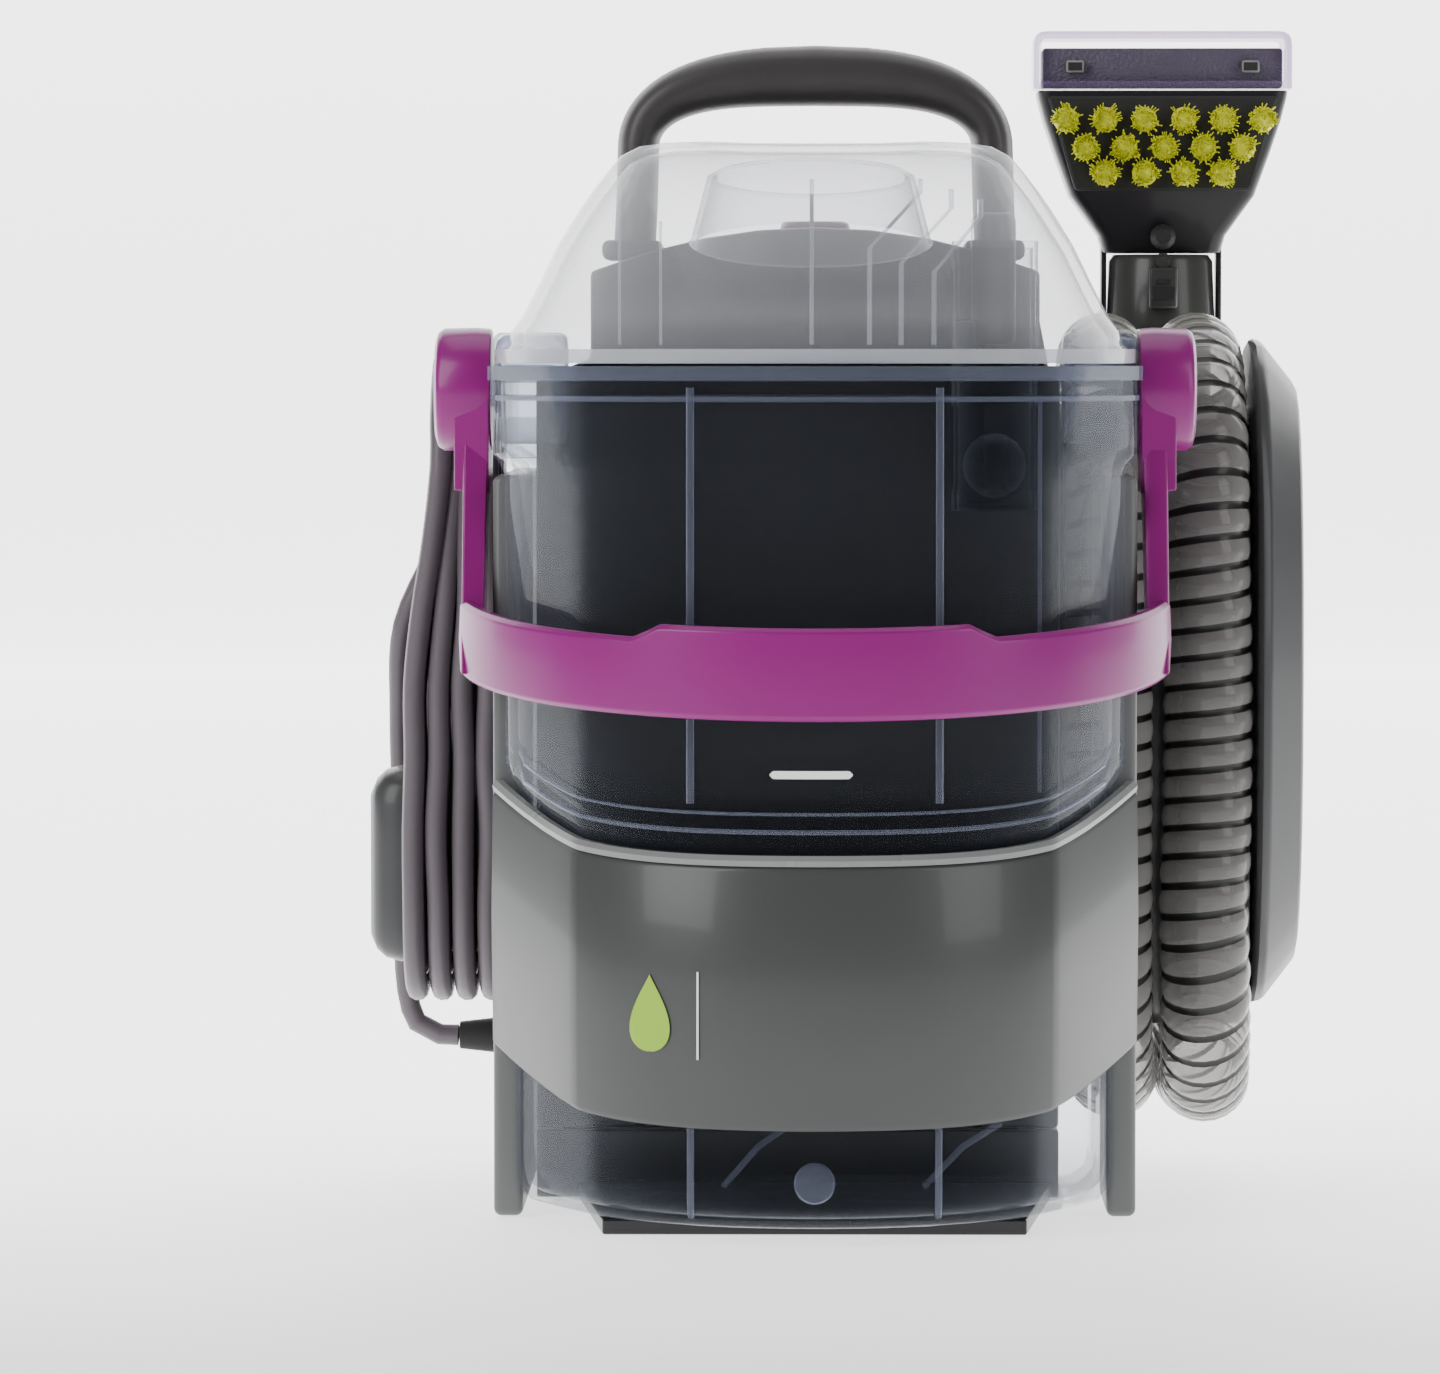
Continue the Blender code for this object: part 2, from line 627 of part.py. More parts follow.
# ---------------------------------------------------------------- clean water tank at the rear
def make_clean_tank():
    """Bottle with its filling neck underneath, cap, gasket and spring valve."""
    x, y = VALVE_AXIS
    low, high = CLEAN_Z

    def divided(corners):
        """The same outline with every edge split in five, so that the neck comes out round."""
        out = []
        for (ax, ay), (bx, by) in zip(corners, corners[1:] + corners[:1]):
            out += [(ax + (bx - ax) * k / 5, ay + (by - ay) * k / 5) for k in range(5)]
        return out

    def bottle(shrink):
        rings = []
        corner = [(CLEAN_X[0], CLEAN_Y[0]), (CLEAN_X[1], CLEAN_Y[0]), (CLEAN_X[1], CLEAN_Y[1] - 0.03),
                  (CLEAN_X[1] - 0.012, CLEAN_Y[1] - 0.008), (CLEAN_X[1] - 0.035, CLEAN_Y[1]),
                  (CLEAN_X[0] + 0.035, CLEAN_Y[1]), (CLEAN_X[0] + 0.012, CLEAN_Y[1] - 0.008),
                  (CLEAN_X[0], CLEAN_Y[1] - 0.03)]
        outline = divided(inset(corner, shrink) if shrink else corner)
        neck = []
        for cx, cy in outline:
            away = Vector((cx - x, cy - y)).normalized() * (NECK_R - shrink)
            neck.append((x + away.x, y + away.y))
        neck_low = low - 0.010
        rings.append([(a, b, neck_low) for a, b in neck])
        rings.append([(a, b, low + shrink) for a, b in neck])
        rings.append([(a, b, low + 0.004 + shrink) for a, b in outline])
        rings.append([(a, b, high - 0.012 - shrink) for a, b in outline])
        lid = inset(outline, 0.010)
        rings.append([(a, b, high - shrink) for a, b in lid])
        return rings

    outer = bottle(0.0)
    inner = bottle(0.002)
    bm_rings = outer + inner[::-1]
    count = len(outer[0])
    bm = bmesh.new()
    verts = [[bm.verts.new(p) for p in ring_] for ring_ in bm_rings]
    half = len(outer)
    for k, (a, b) in enumerate(zip(verts, verts[1:] + verts[:1])):
        if k == half - 1:
            continue
        for i in range(count):
            j = (i + 1) % count
            bm.faces.new((a[i], a[j], b[j], b[i]))
    bm.faces.new(verts[half - 1])
    bm.faces.new(verts[half])
    from_bmesh("clean_tank", bm, "clear")
    cap_low = low - 0.0150
    neck_low = low - 0.010
    cap = [(NECK_R + 0.004, low - 0.002), (NECK_R + 0.004, cap_low), (0.005, cap_low), (0.005, cap_low + 0.002),
           (NECK_R + 0.0006, cap_low + 0.002), (NECK_R + 0.0006, low - 0.002)]
    lathe("clean_tank_cap", cap, (x, y, 0), "dark", ring=True)
    ring("cap_gasket", NECK_R, NECK_R - 0.004, cap_low + 0.002 + GAP, neck_low - GAP, (x, y, 0), "rubber")
    stem = [(0, cap_low + 0.012), (0.003, cap_low + 0.012), (0.003, cap_low + 0.005), (0.008, cap_low + 0.0045),
            (0.008, cap_low + 0.0024), (0.004, cap_low + 0.0024), (0.004, cap_low - 0.002), (0, cap_low - 0.002)]
    lathe("valve_plunger", stem, (x, y, 0), "white", steps=16)
    spring("valve_spring", (x, y, cap_low + 0.0058), 0.0045, 0.008, 3)
    pin_high = cap_low - 0.002 - GAP
    receiver = [(0, pin_high), (0.003, pin_high), (0.003, WALL + 0.003), (0.016, WALL + 0.0025),
                (0.016, WALL + GAP), (0, WALL + GAP)]
    lathe("tank_receiver", receiver, (x, y, 0), "dark", steps=16)


# ---------------------------------------------------------------- cord wrap on the left
GLAND = (-SIDE_X - GAP, 0.0490, 0.040)
LEAD_ROUTE = [(-SIDE_X - out, y, z) for out, y, z in
              ((0.0168, 0.0490, 0.0400), (0.0225, 0.0492, 0.0402), (0.0295, 0.0488, 0.0440), (0.0320, 0.0478, 0.0540),
               (0.0300, 0.0462, 0.0680), (0.0255, 0.0440, 0.0840), (0.0205, 0.0418, 0.1000), (0.0175, 0.0408, 0.1180))]


def coil_face(z):
    """Outer face of the cord winding at height z: slim above, full below."""
    slim = 0.0145
    full = 0.0320
    part = max(0.0, min(1.0, (HOOK_Z[1] - 0.018 - z) / 0.030))
    return -SIDE_X - slim - (full - slim) * part


def make_cord_wrap():
    z_low, z_high = HOOK_Z
    face = coil_face(z_low) - 0.0015
    low = [(-SIDE_X - GAP, HOOK_R), (face, HOOK_R)]
    hook = prism("cord_hook_lower", racetrack(HOOK_Y, z_low, z_low + 0.004, HOOK_R, 6),
                 low[1][0] - 0.002, low[0][0], "grey", "X")
    flange = racetrack(HOOK_Y, z_low - 0.004, z_low + 0.024, 0.0155, 8)
    join(hook, prism("hook_flange", flange, face - 0.007, face, None, "X"))
    face = coil_face(z_high) - 0.0015
    hub = rod("cord_hook_upper", 0.0085, -SIDE_X - GAP, face - 0.003, (0, HOOK_Y, z_high), "grey", "X", 16)
    tab = [(HOOK_Y - 0.0075, z_high - 0.0075), (HOOK_Y + 0.0075, z_high - 0.0075),
           (HOOK_Y + 0.0060, z_high + 0.0205), (HOOK_Y - 0.0060, z_high + 0.0205)]
    join(hub, prism("hook_tab", tab, face - 0.0035, face, None, "X"))
    outer = racetrack(HOOK_Y, z_low, z_high, COIL_R, 10)
    inner = racetrack(HOOK_Y, z_low, z_high, HOOK_R + 0.001, 10)
    rings = []
    for outline, outside in ((outer, False), (outer, True), (inner, True), (inner, False)):
        ring_ = []
        for y, z in outline:
            ring_.append((coil_face(z) if outside else -SIDE_X - 0.001, y, z))
        rings.append(ring_)
    extra = []
    for level in (z_high - 0.018, z_high - 0.048):
        extra.append(level)
    bm = bmesh.new()
    verts = [[bm.verts.new(p) for p in ring_] for ring_ in rings]
    count = len(outer)
    for a, b in zip(verts, verts[1:] + verts[:1]):
        for i in range(count):
            j = (i + 1) % count
            bm.faces.new((a[i], a[j], b[j], b[i]))
    for level in extra:
        bmesh.ops.bisect_plane(bm, geom=bm.verts[:] + bm.edges[:] + bm.faces[:], dist=0.00001,
                               plane_co=(0, 0, level), plane_no=(0, 0, 1))
    for vert in bm.verts:
        if vert.co.x < -SIDE_X - 0.005:
            vert.co.x = coil_face(vert.co.z)
    from_bmesh("power_cord_winding", bm, "cord")
    x, y, z = GLAND
    lathe("cord_gland", [(0, 0.0), (0.006, 0.0), (0.0042, -0.016), (0, -0.016)], (x, y, z), "rubber", "X", 12)
    tube("power_cord_lead", smooth_path(LEAD_ROUTE, 0.010), CORD_D / 2, "cord")
    back = HOOK_Y + COIL_R + GAP
    plug = box("power_plug", (-SIDE_X - 0.0265, back, 0.150), (-SIDE_X - 0.0065, back + 0.015, 0.182), "cord", 0.002)
    for side in (-SIDE_X - 0.0210, -SIDE_X - 0.0120):
        pin = rod("plug_pin", 0.002, 0.178, 0.198, (side, back + 0.0075, 0), None, steps=10)
        join(plug, pin)


# ---------------------------------------------------------------- hose wrap on the right
def make_hose_wrap():
    z_low, z_high = HUB_Z
    outline = racetrack(HUB_Y, z_low, z_high, HUB_R, 10)
    face = BODY_X[1] + 2 * HOSE_D + 0.0045
    hub = prism("hose_hub", outline, BODY_X[1] + GAP, face, "dark", "X")
    cut(hub, prism("hub_hollow", racetrack(HUB_Y, z_low, z_high, HUB_R - WALL, 10), BODY_X[1] - 0.01,
                   face - WALL, None, "X"))
    steps = 28
    mid = (z_low + z_high) / 2 + WING_RISE
    rings = []
    for inward, x in ((0.0, face + GAP), (0.0, face + 0.004), (0.014, face + WING_T), (0.030, face + WING_T)):
        ring_ = []
        for i in range(steps):
            a = math.tau * i / steps
            y = HUB_Y + (0.064 - inward) * math.copysign(abs(math.cos(a)) ** 0.8, math.cos(a))
            z = mid + (0.101 - inward) * math.copysign(abs(math.sin(a)) ** 0.8, math.sin(a))
            ring_.append((x, y, z))
        rings.append(ring_)
    wing = loft("hose_wing", rings, "grey")
    return wing


def hose_route():
    """Centreline of the hose: two turns round the hub, then up into the wand."""
    z_low, z_high = HUB_Z
    inner_x = BODY_X[1] + HOSE_D / 2 + 0.0015
    outer_x = inner_x + HOSE_D + 0.0015
    rear = HUB_Y + LOOP_R
    front = HUB_Y - LOOP_R
    points = []
    for turn, (x_start, x_end) in enumerate(((inner_x, inner_x), (outer_x, outer_x))):
        first = 0.175 if turn == 0 else z_low + 0.055
        points.append((x_start, rear, first))
        if turn == 1:
            points.append((x_start, rear, z_high - 0.030))
        for i in range(9):
            a = math.pi * i / 8
            points.append((x_start, HUB_Y + LOOP_R * math.cos(a), z_high + LOOP_R * math.sin(a)))
        points.append((x_end + 0.001 * turn, front, (z_low + z_high) / 2 + 0.02))
        points.append((x_end + 0.001 * turn, front, (z_low + z_high) / 2 - 0.02))
        if turn == 0:
            for i in range(9):
                a = math.pi + math.pi * i / 8
                shift = (i / 8) ** 2 * 0.55
                points.append((inner_x + (outer_x - inner_x) * shift, HUB_Y + LOOP_R * math.cos(a),
                               z_low + LOOP_R * math.sin(a)))
            points.append((outer_x - 0.0035, rear, z_low + 0.028))
    for i in range(5):
        a = math.pi + math.pi / 2 * i / 4
        points.append((outer_x + 0.003 * i / 4, HUB_Y + LOOP_R * math.cos(a), z_low + (LOOP_R + 0.0015) * math.sin(a)))
    points += [(outer_x + 0.0015, 0.060, 0.0285), (0.1160, 0.088, 0.0330), (0.1115, 0.110, 0.0480),
               (0.1093, 0.122, 0.0690), (GRIP[0], GRIP[1], GRIP_Z[0] - 0.003)]
    return points


def make_hose():
    tube("suction_hose", smooth_path(hose_route(), 0.0150), HOSE_D / 2, "dark", 3)
    x = BODY_X[1] + HOSE_D / 2 + 0.0015
    rear = HUB_Y + LOOP_R
    elbow = smooth_path([(x, HUB_Y + HUB_R + 0.0006, 0.150), (x, rear - 0.006, 0.151), (x, rear, 0.158),
                         (x, rear, 0.1740)], 0.004)
    tube("hose_port", elbow, 0.0095, "dark", 3)


# ---------------------------------------------------------------- wand and tool
def make_wand():
    x, y = GRIP
    low, high = GRIP_Z
    for side in ("left", "right"):
        sign = -1 if side == "left" else 1
        outline = []
        for i in range(11):
            a = -math.pi / 2 + math.pi * i / 10
            outline.append((x + sign * (GAP / 2 + GRIP_R * math.cos(a) * 0.985), y + GRIP_R * math.sin(a)))
        for i in range(9):
            a = math.pi / 2 - math.pi * i / 8
            outline.append((x + sign * (GAP / 2 + (GRIP_R - 0.003) * math.cos(a)), y + (GRIP_R - 0.003) * math.sin(a)))
        if sign < 0:
            outline.reverse()
        shell = prism("grip_shell_" + side, outline, low, high, "dark")
        slot = box("trigger_slot_" + side, (x - 0.0055, y + 0.006, TRIGGER_Z - 0.002),
                   (x + 0.0055, y + GRIP_R + 0.01, TRIGGER_Z + 0.050), None)
        cut(shell, slot)
    trigger = [(y + 0.0075, TRIGGER_Z), (y + GRIP_R + 0.002, TRIGGER_Z + 0.002), (y + GRIP_R + 0.008, TRIGGER_Z + 0.010),
               (y + GRIP_R + 0.006, TRIGGER_Z + 0.030), (y + GRIP_R - 0.002, TRIGGER_Z + 0.046),
               (y + 0.0085, TRIGGER_Z + 0.047)]
    prism("grip_trigger", trigger, x - 0.005, x + 0.005, "violet", "X")
    spring("trigger_spring", (x, y + 0.0010, TRIGGER_Z + 0.012), 0.0025, 0.0056, 3, "Y")
    # fixed arm from the back of the housing, past the rear tank, that holds the wand
    arm_low = CLEAN_X[1] + 0.001
    arm_high = BODY_X[1] - 0.0005
    rear = HUB_Y + LOOP_R + HOSE_D / 2
    touch = x - GRIP_R - 0.0006
    arm = [(arm_low, BODY_Y[2] + GAP), (arm_high, BODY_Y[2] + GAP), (arm_high, rear + 0.003), (touch, rear + 0.010),
           (touch, y + 0.008), (touch - 0.004, y + 0.008), (arm_low, rear + 0.013)]
    prism("wand_cradle", arm, CRADLE_Z, CRADLE_Z + 0.018, "dark")


TRIGGER_Z = 0.186
CRADLE_Z = 0.150


def make_tool():
    """Stain tool: neck, flared body, clear nozzle window and bristle block."""
    x, y = GRIP
    low, high = TOOL_Z
    half = TOOL_W / 2
    shape = [(low + 0.024, 0.0205, 0.013), (low + 0.032, 0.0205, 0.012), (low + 0.042, 0.030, 0.011),
             (low + 0.052, half - 0.004, 0.0105), (high - 0.0185, half - 0.001, 0.010)]
    rings = []
    for z, width, depth in shape:
        ring_ = []
        for i in range(16):
            a = math.tau * i / 16
            ring_.append((x + width * math.copysign(abs(math.cos(a)) ** 0.35, math.cos(a)),
                          y + depth * math.copysign(abs(math.sin(a)) ** 0.35, math.sin(a)), z))
        rings.append(ring_)
    loft("tool_body", rings, "dark")
    collar = ring("tool_collar", 0.0190, 0.0130, low, low + 0.0236, (x, y, 0), "grey")
    pocket = box("latch_pocket", (x - 0.0050, y - 0.022, low + 0.006), (x + 0.0050, y - 0.011, low + 0.020), None)
    cut(collar, pocket)
    box("tool_latch", (x - 0.0044, y - 0.0205, low + 0.0066), (x + 0.0044, y - 0.0160, low + 0.0194), "dark", 0.0008)
    window = box("tool_window", (x - half, y - 0.0125, high - 0.0180), (x + half, y + 0.0125, high), "clear", 0.002)
    cut(window, box("nozzle_slot", (x - half + 0.003, y - 0.010, high - 0.0150), (x + half - 0.003, y + 0.010, high + 0.01),
                    None))
    block_low = low + 0.040
    plate = box("bristle_block", (x - 0.036, y - 0.0165, block_low + 0.0135), (x + 0.036, y - 0.0112, high - 0.0200),
                "green", 0.001)
    nozzle = lathe("spray_nozzle", [(0, 0.0), (0.004, 0.0), (0.004, -0.004), (0.0025, -0.008), (0, -0.008)],
                   (x, y - 0.0135, low + 0.0290), "dark", "Y", 12)
    return plate, nozzle


# ---------------------------------------------------------------- feet and screws
def make_feet():
    for name, (x, y) in PAD_SPOTS.items():
        rod("foot_" + name, PAD_R, 0.0, PAD_DEPTH, (x, y, 0), "rubber", steps=16)
    for number, (x, y) in enumerate(SCREW_SPOTS, 1):
        rod("base_screw_%d" % number, SCREW_R, 0.0003, PAD_DEPTH, (x, y, 0), "steel", steps=12)


make_base()
make_side_walls()
make_front_band()
make_body_shells()
make_handle()
make_dirty_tank()
make_lid()
make_float()
make_bail()
make_power_train()
make_plumbing()
make_button()
make_clean_tank()
make_cord_wrap()
make_hose_wrap()
make_hose()
make_wand()
make_tool()
make_feet()
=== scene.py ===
"""Looks of a portable carpet and upholstery cleaner, laid out as an add-on."""
import json
import math
import random

import bmesh
import bpy
from bpy.props import FloatProperty, FloatVectorProperty, IntProperty, PointerProperty
from mathutils import Matrix, Vector


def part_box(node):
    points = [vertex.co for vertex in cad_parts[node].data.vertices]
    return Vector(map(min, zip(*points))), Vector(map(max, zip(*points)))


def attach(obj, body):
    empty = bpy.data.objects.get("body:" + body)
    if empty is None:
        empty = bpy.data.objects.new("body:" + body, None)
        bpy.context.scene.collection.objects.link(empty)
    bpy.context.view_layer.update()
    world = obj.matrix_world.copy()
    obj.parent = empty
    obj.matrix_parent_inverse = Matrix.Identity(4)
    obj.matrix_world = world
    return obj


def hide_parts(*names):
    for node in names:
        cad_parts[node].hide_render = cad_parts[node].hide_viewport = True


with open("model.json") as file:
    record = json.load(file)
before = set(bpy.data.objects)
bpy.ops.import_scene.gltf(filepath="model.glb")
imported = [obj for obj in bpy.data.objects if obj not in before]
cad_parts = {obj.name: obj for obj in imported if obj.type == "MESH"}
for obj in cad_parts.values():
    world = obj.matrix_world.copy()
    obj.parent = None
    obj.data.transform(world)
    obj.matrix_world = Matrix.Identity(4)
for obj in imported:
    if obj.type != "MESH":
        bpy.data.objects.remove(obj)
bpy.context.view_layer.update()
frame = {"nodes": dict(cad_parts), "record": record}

bl_info = {
    "name": "Carpet Cleaner Looks",
    "version": (1, 0, 0),
    "blender": (4, 5, 0),
    "location": "View3D > Sidebar > Cleaner",
    "description": "Builds the finished surfaces of a portable carpet cleaner round its frame",
    "category": "Object",
}


# ---------------------------------------------------------------- places read from the frame
def low(node):
    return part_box(node)[0]


def high(node):
    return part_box(node)[1]


FRONT_Y = low("front_band")[1]
SIDE_X = high("front_band")[0]
SEAM_Z = high("dirty_tank")[2]
TANK_LOW = low("dirty_tank")[2]
LID_TOP = high("tank_lid")[2]
PILLAR_Y = low("side_wall_left")[1]
TANK_REAR = high("dirty_tank")[1]
DOME_Z = high("body_front_shell")[2]
BODY_RIGHT = high("body_front_shell")[0]
ARC_R = 0.092
CREASE_X = 0.068
PIVOT_Y = (low("bail_pin_left")[1] + high("bail_pin_left")[1]) / 2
PIVOT_Z = (low("bail_pin_left")[2] + high("bail_pin_left")[2]) / 2
BAND_LOW = low("front_band")[2]
BAND_HIGH = 0.110
BAND_RISE = 0.0175
HOOK_Y = (low("cord_hook_lower")[1] + high("cord_hook_lower")[1]) / 2
HOOK_LOW_Z = 0.086
HOOK_HIGH_Z = 0.216
HUB_Y = (low("hose_hub")[1] + high("hose_hub")[1]) / 2
HUB_LOW_Z = 0.086
HUB_HIGH_Z = 0.192
GRIP_X = (low("tool_collar")[0] + high("tool_collar")[0]) / 2
GRIP_Y = (low("tool_collar")[1] + high("tool_collar")[1]) / 2


# ---------------------------------------------------------------- settings
class CleanerStage(bpy.types.PropertyGroup):
    """Floor, lights and camera."""
    camera_distance: FloatProperty(name="Camera distance", description="From the front of the fascia",
                                   default=2.0, unit='LENGTH')
    camera_height: FloatProperty(name="Camera height", description="Height of the lens over the floor",
                                 default=0.2485, unit='LENGTH')
    key_power: FloatProperty(name="Key light", description="Power of the left softbox", default=24.0)
    fill_power: FloatProperty(name="Fill light", description="Power of the right softbox", default=9.0)
    floor_colour: FloatVectorProperty(name="Floor", description="Colour of the floor sweep",
                                      subtype='COLOR',
                                      default=(0.92, 0.92, 0.92))


class CleanerColours(bpy.types.PropertyGroup):
    """Finishes that a maker would choose."""
    violet: FloatVectorProperty(name="Bail", description="Glossy violet plastic", subtype='COLOR',
                                default=(0.215, 0.0020, 0.145))
    grey: FloatVectorProperty(name="Housing", description="Satin grey plastic", subtype='COLOR',
                              default=(0.050, 0.052, 0.052))
    dark: FloatVectorProperty(name="Dark parts", description="Dark moulded plastic", subtype='COLOR',
                              default=(0.010, 0.010, 0.012))
    cord: FloatVectorProperty(name="Cord", description="Jacket of the power cord", subtype='COLOR',
                              default=(0.100, 0.085, 0.098))
    bristle: FloatVectorProperty(name="Bristles", description="Nylon tufts", subtype='COLOR',
                                 default=(0.78, 0.80, 0.02))


class CleanerSoft(bpy.types.PropertyGroup):
    """Hose and cord."""
    hose_diameter: FloatProperty(name="Hose diameter", description="Over the ribs", default=0.027,
                                 unit='LENGTH')
    rib_pitch: FloatProperty(name="Rib pitch", description="Distance between two ribs of the hose",
                             default=0.0084, unit='LENGTH')
    cord_diameter: FloatProperty(name="Cord diameter", description="Mains lead", default=0.0066,
                                 unit='LENGTH')
    cord_turns: IntProperty(name="Turns", description="Turns of cord on the hooks", default=12, min=4,
                            max=14)


# ---------------------------------------------------------------- shader maths
class Wire:
    """An output socket that adds a Math node for each operator."""

    def __init__(self, tree, socket):
        self.tree = tree
        self.socket = socket

    def _math(self, operation, first, second):
        return self.tree.node('ShaderNodeMath', {'operation': operation}, {0: first, 1: second})

    def __add__(self, other):
        return self._math('ADD', self, other)

    def __radd__(self, other):
        return self._math('ADD', other, self)

    def __sub__(self, other):
        return self._math('SUBTRACT', self, other)

    def __rsub__(self, other):
        return self._math('SUBTRACT', other, self)

    def __mul__(self, other):
        return self._math('MULTIPLY', self, other)

    def __rmul__(self, other):
        return self._math('MULTIPLY', other, self)

    def __pow__(self, other):
        return self._math('POWER', self, other)


class Tree:
    """Node tree of one material, with one method that adds any node."""

    def __init__(self, name):
        self.material = bpy.data.materials.new(name)
        self.material.use_nodes = True
        self.nodes = self.material.node_tree.nodes
        self.links = self.material.node_tree.links
        self.shader = self.nodes["Principled BSDF"]
        self.output = self.nodes["Material Output"]

    def feed(self, socket, value):
        """Link a wire, or set a plain value."""
        if isinstance(value, Wire):
            self.links.new(value.socket, socket)
        elif isinstance(value, bpy.types.NodeSocket):
            self.links.new(value, socket)
        elif hasattr(value, "__len__") and len(value) == 3 and socket.type == 'RGBA':
            socket.default_value = (*value, 1.0)
        else:
            socket.default_value = value

    def node(self, kind, settings=None, sockets=None, output=0):
        made = self.nodes.new(kind)
        for key, value in (settings or {}).items():
            if key == 'stops':
                ramp = made.color_ramp
                while len(ramp.elements) < len(value):
                    ramp.elements.new(0.5)
                for element, (position, colour) in zip(ramp.elements, value):
                    element.position = position
                    element.color = (*colour, 1.0) if len(colour) == 3 else colour
            else:
                setattr(made, key, value)
        for key, value in (sockets or {}).items():
            self.feed(made.inputs[key], value)
        return Wire(self, made.outputs[output])

    def place(self):
        return self.node('ShaderNodeTexCoord', output=3)

    def noise(self, scale, detail=3.0, vector=None, roughness=0.5):
        return self.node('ShaderNodeTexNoise', {}, {'Vector': vector or self.place(), 'Scale': scale,
                                                    'Detail': detail,
                                                    'Roughness': roughness})

    def mix(self, factor, first, second):
        made = self.nodes.new('ShaderNodeMix')
        made.data_type = 'RGBA'
        self.feed(made.inputs[0], factor)
        self.feed(made.inputs[6], first)
        self.feed(made.inputs[7], second)
        return Wire(self, made.outputs[2])

    def bump(self, height, strength, distance):
        return self.node('ShaderNodeBump', {}, {'Strength': strength, 'Distance': distance,
                                                'Height': height})

    def surface(self, **values):
        for key, value in values.items():
            self.feed(self.shader.inputs[key.replace('_', ' ')], value)
        return self.material


MADE = {}


def finish_of(function):
    """Each finish is made once and shared."""
    def cached():
        if function.__name__ not in MADE:
            MADE[function.__name__] = function()
        return MADE[function.__name__]
    return cached


def shaded(colour, amount):
    return tuple(c * amount for c in colour)


def plastic(name, colour, roughness, grain, grain_depth, coat=0.0, spread=0.10):
    """Moulded plastic: flow marks in the colour, fine grain in the surface, handled spots in the gloss."""
    tree = Tree(name)
    flow = tree.noise(22.0, 4.0)
    fine = tree.noise(grain, 2.0)
    handled = tree.noise(9.0, 5.0, roughness=0.65)
    base = tree.mix(flow, shaded(colour, 1.0 - spread), shaded(colour, 1.0 + spread))
    return tree.surface(Base_Color=base, Roughness=roughness - 0.05 + handled * 0.12,
                        Normal=tree.bump(fine, 0.25, grain_depth), Coat_Weight=coat, Coat_Roughness=0.08,
                        Specular_IOR_Level=0.32)


@finish_of
def violet_gloss():
    colour = tuple(bpy.context.scene.cleaner_colours.violet)
    return plastic("violet_gloss", colour, 0.30, 900.0, 0.00002, coat=0.12, spread=0.05)


@finish_of
def satin_grey():
    colour = tuple(bpy.context.scene.cleaner_colours.grey)
    return plastic("satin_grey", colour, 0.30, 1600.0, 0.00006, coat=0.15, spread=0.05)


@finish_of
def pillar_grey():
    return plastic("pillar_grey", (0.105, 0.109, 0.109), 0.34, 1600.0, 0.00003, coat=0.1, spread=0.05)


@finish_of
def lip_grey():
    return plastic("lip_grey", (0.20, 0.205, 0.205), 0.26, 1600.0, 0.00003, coat=0.2, spread=0.04)


@finish_of
def dark_grained():
    colour = tuple(bpy.context.scene.cleaner_colours.dark)
    return plastic("dark_grained", colour, 0.30, 1400.0, 0.00002, coat=0.2, spread=0.15)


@finish_of
def tool_grey():
    return plastic("tool_grey", (0.038, 0.040, 0.037), 0.28, 1200.0, 0.00003, coat=0.12, spread=0.08)


@finish_of
def wing_grey():
    return plastic("wing_grey", (0.045, 0.046, 0.048), 0.34, 1400.0, 0.0001, coat=0.1, spread=0.08)


@finish_of
def soft_touch():
    """Rubbery skin of the carry handle: dark, slightly brown, with a soft sheen."""
    tree = Tree("soft_touch")
    speck = tree.noise(2600.0, 2.0)
    rubbed = tree.noise(14.0, 5.0)
    base = tree.mix(rubbed, (0.020, 0.018, 0.018), (0.034, 0.029, 0.029))
    tree.surface(Base_Color=base, Roughness=0.36 + rubbed * 0.16, Normal=tree.bump(speck, 0.3, 0.0001))
    return tree.surface(Sheen_Weight=0.25, Sheen_Roughness=0.4)


@finish_of
def black_rubber():
    return plastic("black_rubber", (0.018, 0.018, 0.019), 0.68, 1500.0, 0.0002, spread=0.2)


@finish_of
def cord_jacket():
    colour = tuple(bpy.context.scene.cleaner_colours.cord)
    return plastic("cord_jacket", colour, 0.40, 1200.0, 0.0001, coat=0.1, spread=0.1)


@finish_of
def white_print():
    return plastic("white_print", (0.86, 0.86, 0.86), 0.5, 900.0, 0.00002, spread=0.02)


@finish_of
def green_print():
    return plastic("green_print", (0.30, 0.52, 0.035), 0.45, 900.0, 0.00002, spread=0.03)


@finish_of
def bright_steel():
    tree = Tree("bright_steel")
    brushed = tree.noise(700.0, 2.0)
    return tree.surface(Base_Color=(0.62, 0.62, 0.63), Metallic=1.0, Roughness=0.22 + brushed * 0.2,
                        Normal=tree.bump(brushed, 0.2, 0.00005))


@finish_of
def bristle_nylon():
    colour = tuple(bpy.context.scene.cleaner_colours.bristle)
    tree = Tree("bristle_nylon")
    vary = tree.noise(420.0, 2.0)
    base = tree.mix(vary, shaded(colour, 0.55), shaded(colour, 1.35))
    return tree.surface(Base_Color=base, Roughness=0.42 + vary * 0.1, Normal=tree.bump(vary, 0.2, 0.0001))


